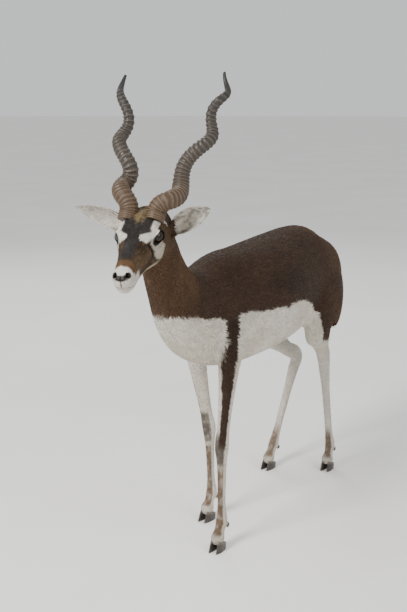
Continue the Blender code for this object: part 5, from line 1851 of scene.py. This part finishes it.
def eye_finish():
    """Pupil where (x / 0.46)^2 + (y / 0.24)^2 < 1, iris out to a radius of 0.80, and a dark rim."""
    made, tree, shader = material("eye", 0.16, 0.10)
    shader.inputs["Coat Weight"].default_value = 0.75
    shader.inputs["Coat IOR"].default_value = 1.38
    shader.inputs["Coat Roughness"].default_value = 0.02
    split = node(tree, "ShaderNodeSeparateXYZ")
    tree.links.new(attribute(tree, "Gaze", "Vector"), split.inputs[0])
    def square(value):
        """The value times itself."""
        return calculated(tree, "MULTIPLY", value, value)

    x, y = split.outputs[0], split.outputs[1]
    wide, high = calculated(tree, "DIVIDE", x, PUPIL[0]), calculated(tree, "DIVIDE", y, PUPIL[1])
    oval = calculated(tree, "ADD", square(wide), square(high))
    radius = calculated(tree, "SQRT", calculated(tree, "ADD", square(x), square(y)), 0.0)
    turn = calculated(tree, "ARCTAN2", y, x)
    lines = node(tree, "ShaderNodeTexNoise", {"Scale": 9.0, "Detail": 3.0}, noise_dimensions="1D")
    tree.links.new(calculated(tree, "MULTIPLY", turn, 3.0), lines.inputs["W"])
    iris = mixed(tree, lines.outputs["Fac"], tone(26, 16, 10), tone(58, 36, 20))
    colour = mixed(tree, ramped(tree, oval, 1.25, 0.95), iris, (0.002, 0.002, 0.002))
    colour = mixed(tree, ramped(tree, radius, 0.70, 0.80), colour, tone(18, 13, 10))
    tree.links.new(colour, shader.inputs["Base Color"])
    return made


wet = eye_finish()
for piece in eyes.values():
    piece.data.materials.append(wet)

# %% [markdown]
# ## Put every piece on the solids
#
# All pieces were made in the animal's frame. One shift carries them into the frame of the solids. Each
# then rides on the root body, and the solids that it stands for are hidden.

# %% Shift and place
def settle(piece, slot, *nodes):
    """Shifts the piece onto the solids, sets it on the root body and hides the solids that it replaces. The
    slot is not used.
    """
    set_points(piece.data, points_of(piece.data) + SHIFT)
    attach(piece, "root")
    if nodes:
        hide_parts(*nodes)


settle(skin, "hide", "torso", "neck", "head", "tail", *LIMBS, "ear_left", "ear_right")
for piece in coat:
    settle(piece, "hide")
for name, piece in horns.items():
    settle(piece, "horn", "horn_" + name)
for name, piece in eyes.items():
    settle(piece, "eye", "eye_" + name)
for name, piece in claws.items():
    settle(piece, "hoof", name)

# %% [markdown]
# ## Floor, light and camera
#
# The floor is plain and pale. A large soft light hangs over the animal from the camera's left, a wide
# one fills from the right, and a dim world lifts the shadows. The camera stands where the picture was
# taken from: 30 degrees round to the animal's left and 12.4 degrees above level.

# %% Lay the floor
def floor_finish():
    """Two close pale tones mixed by a broad noise."""
    made, tree, shader = material("floor", 0.85, 0.2)
    cloud = noise(tree, object_place(tree), 1.4, 4.0)
    colour = mixed(tree, ramped(tree, cloud, 0.35, 0.65), tone(240, 238, 234), tone(245, 243, 240))
    tree.links.new(colour, shader.inputs["Base Color"])
    return made


FLOOR_RINGS = np.array((0.5, 1.5, 4.0, 12.0, 40.0))
turn = round_turns(96)
reach = FLOOR_RINGS[:, None]
disc = np.stack([reach * np.cos(turn), reach * np.sin(turn), np.zeros((5, 96))], 2).reshape(-1, 3)
disc_faces = grid_quads(5, 96)[:, [0, 3, 2, 1]].tolist() + [list(range(96))]
floor = mesh_piece("floor", disc - (0, 0, 0.0002), disc_faces, outward=False)
floor.data.materials.append(floor_finish())
floor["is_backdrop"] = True


# %% Hang the lights
def aimed(piece, at, direction):
    """Sets the piece down and turns its own -Z along the direction."""
    piece.location = at
    piece.rotation_mode = "QUATERNION"
    piece.rotation_quaternion = direction.to_track_quat("-Z", "Y")


def area_light(name, at, toward, size, power):
    """A round lamp of a size and power that looks from one place to another."""
    lamp = bpy.data.lights.new(name, "AREA")
    lamp.shape, lamp.size, lamp.energy = "DISK", size, power
    aimed(linked(name, lamp), at, Vector(toward) - Vector(at))


LIGHTS = {  # place, what it looks at, width in metres and power in watts
    "key": ((-0.9, -3.6, 3.4), (0, 0, 0.7), 1.5, 230),
    "fill": ((3.6, -1.0, 2.2), (0, 0, 0.6), 2.4, 55),
    "rear": ((-2.6, 3.0, 3.0), (0, 0, 0.8), 2.0, 55),
}
WORLD_COLOUR, WORLD_STRENGTH = (0.93, 0.94, 0.96, 1.0), 0.82
for name, (at, toward, size, power) in LIGHTS.items():
    area_light(name, at, toward, size, power)
world = bpy.data.worlds.new("studio")
world.use_nodes = True
background = world.node_tree.nodes["Background"]
background.inputs["Color"].default_value = WORLD_COLOUR
background.inputs["Strength"].default_value = WORLD_STRENGTH
bpy.context.scene.world = world

# %% Set the camera
CAMERA_AT = Vector((1.263, -2.516, 1.21))
CAMERA_LENS = 58.8
CAMERA_TURN, CAMERA_FALL = math.radians(30.0), math.radians(12.4)
camera = linked("camera", bpy.data.cameras.new("camera"))
camera.data.lens = CAMERA_LENS
camera.data.sensor_width = 36.0
camera.data.clip_end = 100.0
level = math.cos(CAMERA_FALL)
looks = Vector((-math.sin(CAMERA_TURN) * level, math.cos(CAMERA_TURN) * level, -math.sin(CAMERA_FALL)))
aimed(camera, CAMERA_AT + Vector(SHIFT), looks)
bpy.context.scene.camera = camera

# %% Measure and finish
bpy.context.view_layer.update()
total_faces = sum(triangles_of(piece.data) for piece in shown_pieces() if piece.type == "MESH")
print("triangles in all", total_faces)
